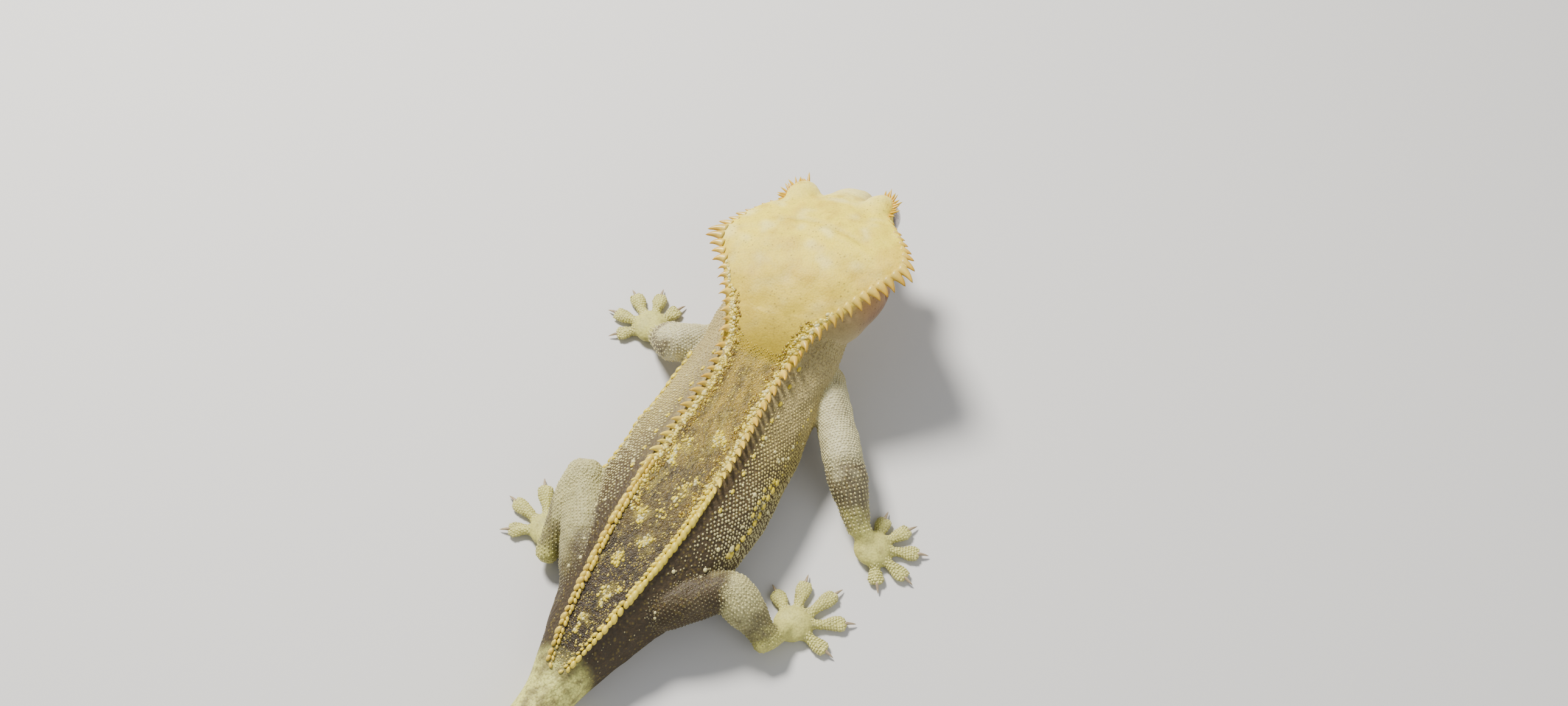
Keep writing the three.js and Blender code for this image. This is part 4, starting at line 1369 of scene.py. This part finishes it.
def makeClusters():
    groups = {name: [] for name in clusters}
    for side in (-1, 1):
        here, along = curveThrough(crestLine(side), crest["step"])
        inRange = (here[:, 1] < clusterRange["from"]) & (here[:, 1] > clusterRange["to"])
        for root, way in zip(here[inRange], along[inRange]):
            away, _ = crestFrame(root[None], way[None], side)
            onCrown = root[1] > clusterRange["crown"]
            for name, (count, near, far, *_) in clusters.items():
                if onCrown and name == "amber_scales":
                    continue
                reach = far * (clusterRange["crownShare"] if onCrown else 1)
                inwards = rng.uniform(near, reach, count)[:, None]
                offset = rng.uniform(-0.9, 0.9, count)[:, None]
                points = root - away * inwards + way * offset + [0, 0, 0.4]
                groups[name].append((points, way + away * rng.normal(0, 0.9, (count, 1))))
    for name, group in groups.items():
        half, foot, top = clusters[name][3:]
        points, lie = gathered(group)
        count = len(points)
        size = half * rng.uniform(0.45, 1.5, count)
        longer = rng.uniform(1.0, 1.9, count)
        # each scale's foot tint darkened as painted shade
        base = np.array(tones[foot]) * rng.uniform(0.4, 0.8, (count, 1))
        tip = blend(tones[foot], tones[top], rng.random(count) ** 2)
        unwrap = bodyMap(points[:, 1], np.arctan2(points[:, 0], 12))
        sizes = [size, size * longer, size * 0.8]
        scatter(name, beadForm(7, 5), points, lie, sizes, (base, tip), unwrap, reach=1.6)


makeClusters()
print("crest made")

# Lashes over each eye
lash = {
    "count": 16,
    "length": 0.0165 * snoutToVent,
    "halfWidth": 0.36,
    "root": 0.5,
    "from": -84,
    "to": 66,
    "base": (0.6, 0.32, 0.001),
    "tip": (0.75, 0.5, 0.02),
}


def onBrow(side, turn, reach, rise):
    # a place round the brow, a reach out from its middle and a rise over it
    across, behind = side * math.cos(turn), math.sin(turn)
    right = side * brow["right"] + reach * brow["across"] * across / headScale
    return onHead(right, brow["behind"] + reach * brow["along"] * behind / headScale, brow["over"] + rise)


def makeLashes():
    stack = []
    for side in (-1, 1):
        for turn in np.radians(np.linspace(lash["from"], lash["to"], lash["count"])):
            root, tip = onBrow(side, turn, 0.9, 0.8), onBrow(side, turn, 1.6, 1.9)
            direction = unit(unit(tip - root) + rng.normal(0, 0.16, 3))
            length = lash["length"] * rng.uniform(0.55, 1.2) + lash["root"]
            half = lash["halfWidth"] * rng.uniform(0.85, 1.2)
            stack.append((root - direction * lash["root"], direction, half, length))
    roots, direction, half, length = (np.array(v) for v in zip(*stack))
    axes = axesFrom([0.2, 1.0, 0.1], direction, [half, half, length])
    repeated("eye_lashes", thornForm(8, 4), roots, axes, (lash["base"], lash["tip"]))


makeLashes()

# Grains: rows of small raised scales over the flanks, which fade towards the hips
grain = {
    "pitch": 0.74,
    "half": 0.235,
    "edgeGap": 0.17,
    "lastAngle": 2.2,
    "front": (30, 10),  # full size from here back
    "fade": (-22, -4),  # gone at the hips
    "yellow": (0, 14),
    "pale": 0.6,
    "barePale": 0.18,
    "longer": 1.35,
    "tall": 0.85,
}


def rowsOnBody(forwards, pitch, span, jitter, side=1):
    # staggered rows of places over the body: points, way forward, angle and place along; span gives the
    # first and last angle from the crest row's own angle and the step between places
    stack = []
    for row, forward in enumerate(forwards):
        t = alongAt([forward])
        rows = rowsAt(body["rows"], t)
        step = pitch * 2 / (rows[0, 3] + rows[0, 4])
        first, last = span(rowAngle(rows)[0], step)
        angles = np.arange(first + (row % 2) * step / 2, last, step)
        angles = angles + rng.normal(0, jitter * step, len(angles))
        points = bodyPoints(t[0] + rng.normal(0, 0.0004, len(angles)), side * angles)
        stack.append((points, forward + 0 * angles, side * angles, t[0] + 0 * angles))
    return gathered(stack)


def makeFlankGrains(side, name):
    forwards = np.arange(40, -40, -grain["pitch"] * 0.8)
    span = lambda edge, step: (edge + grain["edgeGap"], grain["lastAngle"])
    points, forward, angle, t = rowsOnBody(forwards, grain["pitch"], span, 0.07, side)
    count = len(points)
    wobble = 4 * noiseAt(points, 5.0, 2.0)
    front, fade = (smooth(*grain[zone], forward + wobble) for zone in ("front", "fade"))
    turn = np.abs(angle)
    low = smooth(2.15, 1.75, turn) * fade + (1 - fade) * smooth(1.6, 1.0, turn)
    keep = rng.random(count) < np.clip(0.1 + 0.9 * fade, 0, 1) * (0.25 + 0.75 * low)
    size = grain["half"] * (0.62 + 0.42 * front) * rng.uniform(0.8, 1.2, count) * (0.55 + 0.45 * fade)
    under = bodyColours(points, t, angle)
    pale = grain["barePale"] + grain["pale"] * front * (0.3 + 0.7 * fade) * rng.uniform(0.5, 1, count)
    yellow = smooth(*grain["yellow"], forward + wobble) * 0.6
    light = blend(tones["white"], tones["fleck"], yellow)
    tip = under * (1 - pale)[:, None] + light * pale[:, None]
    # each grain's foot is the skin's colour darkened as painted shade
    parts = (points, size, under * 0.6, tip, bodyMap(forward, angle))
    points, size, base, tip, unwrap = (v[keep] for v in parts)
    sizes = [size, size * grain["longer"], size * grain["tall"]]
    scatter(name, beadForm(6, 4), points, (0, -1, -0.35), sizes, (base, tip), unwrap)


makeFlankGrains(-1, "flank_grains_left")
makeFlankGrains(1, "flank_grains_right")


# Larger pale scales: forward, angle round the body, half width, length over width, and tint
ovalScales = [
    (-6.6, 1.13, 0.55, 1.7, "white"),
    (-7.9, 1.17, 0.5, 1.6, "fleck"),
    (-7.2, 1.22, 0.4, 1.5, "bead"),
]


def makeLargeScales():
    edgeAt = lambda forward: rowAngle(rowsAt(body["rows"], alongAt([forward])))[0]
    stack = []
    for side in (-1, 1):
        # the line along the flank, a second one above it, loose scales, and a line under the crest row
        for forward in np.arange(24, -9, -1.75):
            strong = 1.3 if side < 0 else (1.1 if forward < 9 else 0.45)
            stack.append((forward, side * (1.2 + rng.uniform(-0.03, 0.03)), 0.46 * strong, 1.7, "bead"))
        for forward in np.arange(8, -1, -1.3) if side > 0 else [10, 3, -2]:
            stack.append((forward, side * rng.uniform(1.02, 1.12), 0.4, 1.7, "bead"))
        for _ in range(34):
            forward, around = rng.uniform(-24, 20), side * rng.uniform(0.62, 1.5)
            stack.append((forward, around, rng.uniform(0.26, 0.44), 1.25, "white"))
        for forward in np.arange(30, -6, -4.1):
            stack.append((forward, side * (edgeAt(forward) + 0.2), 0.36, 1.9, "bead"))
    stack += ovalScales
    for middle, round, halfLength, halfWidth in palePatches:
        for _ in range(int(3 + 1.5 * halfLength * halfWidth)):
            heart = rng.normal(0, 0.6, 2) * (halfLength, halfWidth)
            for _ in range(9):
                along, across = heart + rng.normal(0, 1, 2) * (0.5, 0.26)
                tint = "white" if rng.random() < 0.35 else "bead"
                size, longer = rng.uniform(0.14, 0.34), rng.uniform(1, 1.9)
                stack.append((middle + along, round + across / 11, size, longer, tint))
    for _ in range(260):
        forward = rng.uniform(-39, 26)
        around = rng.uniform(-0.85, 0.85) * edgeAt(forward)
        stack.append((forward, around, rng.uniform(0.1, 0.22), rng.uniform(1.1, 2), "fleck"))
    forward, angle, size, longer = (np.array(v) for v in list(zip(*stack))[:4])
    tint = np.array([tones[s[4]] for s in stack])
    shade = rng.uniform(0.75, 1.0, (len(stack), 1))
    points = bodyPoints(alongAt(forward), angle)
    # each scale's foot darkened as painted shade
    sizes, tints = [size, size * longer, size * 0.8], (tint * 0.6 * shade, tint * shade)
    unwrap = bodyMap(forward, angle)
    scatter("large_scales", beadForm(8, 6), points, (0, -1, -0.15), sizes, tints, unwrap)


makeLargeScales()

backGrain = {"pitch": 0.42, "half": 0.15, "from": 36, "to": -40}


def makeBackGrains():
    pitch = backGrain["pitch"]
    forwards = np.arange(backGrain["from"], backGrain["to"], -pitch * 0.85)
    span = lambda edge, step: (0.3 * step - edge, edge - 0.3 * step)
    points, forward, angle, t = rowsOnBody(forwards, pitch, span, 0.22)
    count = len(points)
    under = bodyColours(points, t, angle)
    spots = smooth(0.1, 0.4, noiseAt(points, 1.1, 4.0, 2)) * smooth(34, 24, forward)
    tip = under * rng.uniform(0.85, 1.7, (count, 1))
    tip = blend(tip, tones["fleck"], spots * rng.uniform(0.1, 0.6, count))
    tip = blend(tip, tones["crownOchre"], (rng.random(count) < 0.12) * 0.5)
    size = backGrain["half"] * rng.uniform(0.75, 1.2, count)
    # each grain's foot is the skin's colour darkened as painted shade
    sizes, tints, unwrap = [size, size * 1.5, size * 0.5], (under * 0.6, tip), bodyMap(forward, angle)
    scatter("back_grains", beadForm(6, 4), points, (0, -1, -0.1), sizes, tints, unwrap, tilt=0.2)


makeBackGrains()
print("flanks and back grained")

# Limb grains: rows round each limb, flatter ones over the hands, feet and toes
# pitch and half width, for the arms and legs above and below their joints
limbGrain = {
    "arm": [(0.62, 0.22), (0.84, 0.24)],
    "leg": [(0.72, 0.2), (0.78, 0.22)],
    "span": (0.12, 0.88),
}
toeGrain = {"pitch": 0.62, "half": 0.3, "span": (0.2, 0.9)}
unwrapBlocks = 32  # each stretch has its own strip of the map for baking


def formGrains(place, table, scale, pitch, label, span, block):
    # even rows over one stretch of a limb: points, the stretch's own place t, unwrap and label
    stack = []
    whole = 2 * math.pi
    t = np.linspace(*span, 400)
    middle = place(t, np.zeros(400)) / 2 + place(t, np.full(400, math.pi)) / 2
    length = np.concatenate([[0], np.cumsum(np.linalg.norm(np.diff(middle, axis=0), axis=1))])
    for row, at in enumerate(np.arange(0, length[-1], pitch * 0.85)):
        here = np.interp(at, length, t)
        radius = max(rowsAt(table, np.array([here]))[0, 1] * scale, 0.4)
        angles = np.arange((row % 2) * 0.5 * pitch / radius, whole - 0.4 * pitch / radius, pitch / radius)
        angles = angles + rng.normal(0, 0.05 * pitch / radius, len(angles))
        heres = np.full(len(angles), here)
        u = (block + 0.1 + 0.8 * (heres - span[0]) / (span[1] - span[0])) / unwrapBlocks
        unwrap = np.stack([u, 0.05 + 0.9 * (angles % whole) / whole], axis=1)
        stack.append((place(heres, angles), heres, unwrap))
    points, at, unwrap = gathered(stack)
    return points, at, unwrap, np.full(len(points), label, dtype="<U24")


def makeLimbGrains(name, limb, block):
    kind = name[:3]
    stack = []
    for part, (start, stop, towards, profile) in enumerate(limbStretches(name, limb)):
        pitch, half = limbGrain[kind][part]
        place, label = limbPoints(start, stop, towards, profile), name + ("_upper", "_lower")[part]
        table, radius = profiles[profile], limbRadius[profile]
        found = formGrains(place, table, radius, pitch, label, limbGrain["span"], block + part)
        count, t = len(found[0]), found[1]
        pale = (0.6 if (kind, part) == ("arm", 0) else 0.75) * rng.uniform(0.6, 1, count)
        if kind == "leg":
            # the dark stretches of the legs have hardly any pale dots
            pale = pale * (0.2 + 0.6 * (smooth(0.55, 0.4, t) if part else smooth(*limb["pale"], t)))
        lie = np.tile(unit(stop - start), (count, 1))
        stack.append((*found, lie, half * rng.uniform(0.8, 1.15, count), np.full(count, 0.85), pale))
    palm = np.array(limb["palm"], float)
    toes = zip(limb["angles"], limb["lengths"])
    for strip, (angle, length) in enumerate(toes, block + 2):
        degrees = limb["heading"] + angle
        place, scale = toePoints(palm, degrees, length), paw["padHalfWidth"]
        pitch, label = toeGrain["pitch"], name + "_paw"
        found = formGrains(place, paw["toe"], scale, pitch, label, toeGrain["span"], strip)
        count = len(found[0])
        out = np.array([math.cos(math.radians(degrees)), math.sin(math.radians(degrees)), 0])
        half = toeGrain["half"] * rng.uniform(0.85, 1.1, count)
        stack.append((*found, np.tile(out, (count, 1)), half, np.full(count, 0.45), np.full(count, 0.25)))
    points, t, unwrap, label, lie, half, tall, pale = gathered(stack)
    under = limbColours(points, label, t)
    # each grain's foot is the skin's colour darkened as painted shade
    sizes, tints = [half, half * 1.15, half * tall], (under * 0.5, blend(under, tones["white"], pale))
    scatter(name + "_grains", beadForm(6, 4), points, lie, sizes, tints, unwrap, reach=0.6)


for index, (name, limb) in enumerate(limbs.items()):
    makeLimbGrains(name, limb, index * 8)
print("limbs grained")

# Claws
claw = {"length": 1.5, "halfWidth": 0.34, "root": 0.6, "drop": 0.55}


def makeClaws():
    stack = []
    for limb in limbs.values():
        palm = np.array([*limb["palm"][:2], paw["centreHeight"] + 0.1])
        for angle, length in zip(limb["angles"], limb["lengths"]):
            turn = math.radians(limb["heading"] + angle)
            out = np.array([math.cos(turn), math.sin(turn), 0])
            stack.append((palm + out * (length - claw["root"]), out))
    roots, out = (np.array(v) for v in zip(*stack))
    half, length = (np.full(len(roots), size) for size in (claw["halfWidth"], claw["length"] + claw["root"]))
    axes = axesFrom((0, 0, 1), out, [half, half, length])
    white, bend = (1, 1, 1), (0, 0, -claw["drop"])
    repeated("claws", thornForm(10, 6), roots, axes, (white, white), clawMaterial, bend=bend)


makeClaws()
print("claws made")

# Floor and light
studio = {
    "floorSize": 1.6,
    "floor": (0.66, 0.65, 0.63),
    "sky": 0.42,
    "skyColour": (0.94, 0.96, 1, 1),
    # place, power, size and colour of each light
    "key": ((0.34, -0.22, 0.5), 8.6, 0.16, (1, 0.97, 0.92)),
    "fill": ((-0.5, 0.15, 0.4), 1.3, 0.5, (0.93, 0.96, 1)),
}


def makeFloor():
    bm = bmesh.new()
    bmesh.ops.create_grid(bm, x_segments=4, y_segments=4, size=studio["floorSize"] / 2)
    bmesh.ops.translate(bm, vec=(0, 0, -0.0002), verts=bm.verts)
    mesh = bpy.data.meshes.new("floor")
    bm.to_mesh(mesh)
    bm.free()
    f = Finish("floor", Roughness=0.8)
    f.set("Base Color", studio["floor"])
    mesh.materials.append(f.material)
    newObject("floor", mesh)


def makeLight(name, place, power, size, colour):
    data = bpy.data.lights.new(name, "AREA")
    data.shape = "DISK"
    data.size = size
    data.energy = power
    data.color = colour
    obj = newObject(name, data)
    obj.location = place
    obj.rotation_euler = Vector(place).to_track_quat("Z", "Y").to_euler()


makeFloor()
makeLight("key", *studio["key"])
makeLight("fill", *studio["fill"])
world = bpy.data.worlds.new("studio")
bpy.context.scene.world = world
world.use_nodes = True
sky = world.node_tree.nodes["Background"].inputs
sky["Color"].default_value = studio["skyColour"]
sky["Strength"].default_value = studio["sky"]
print("stage set")
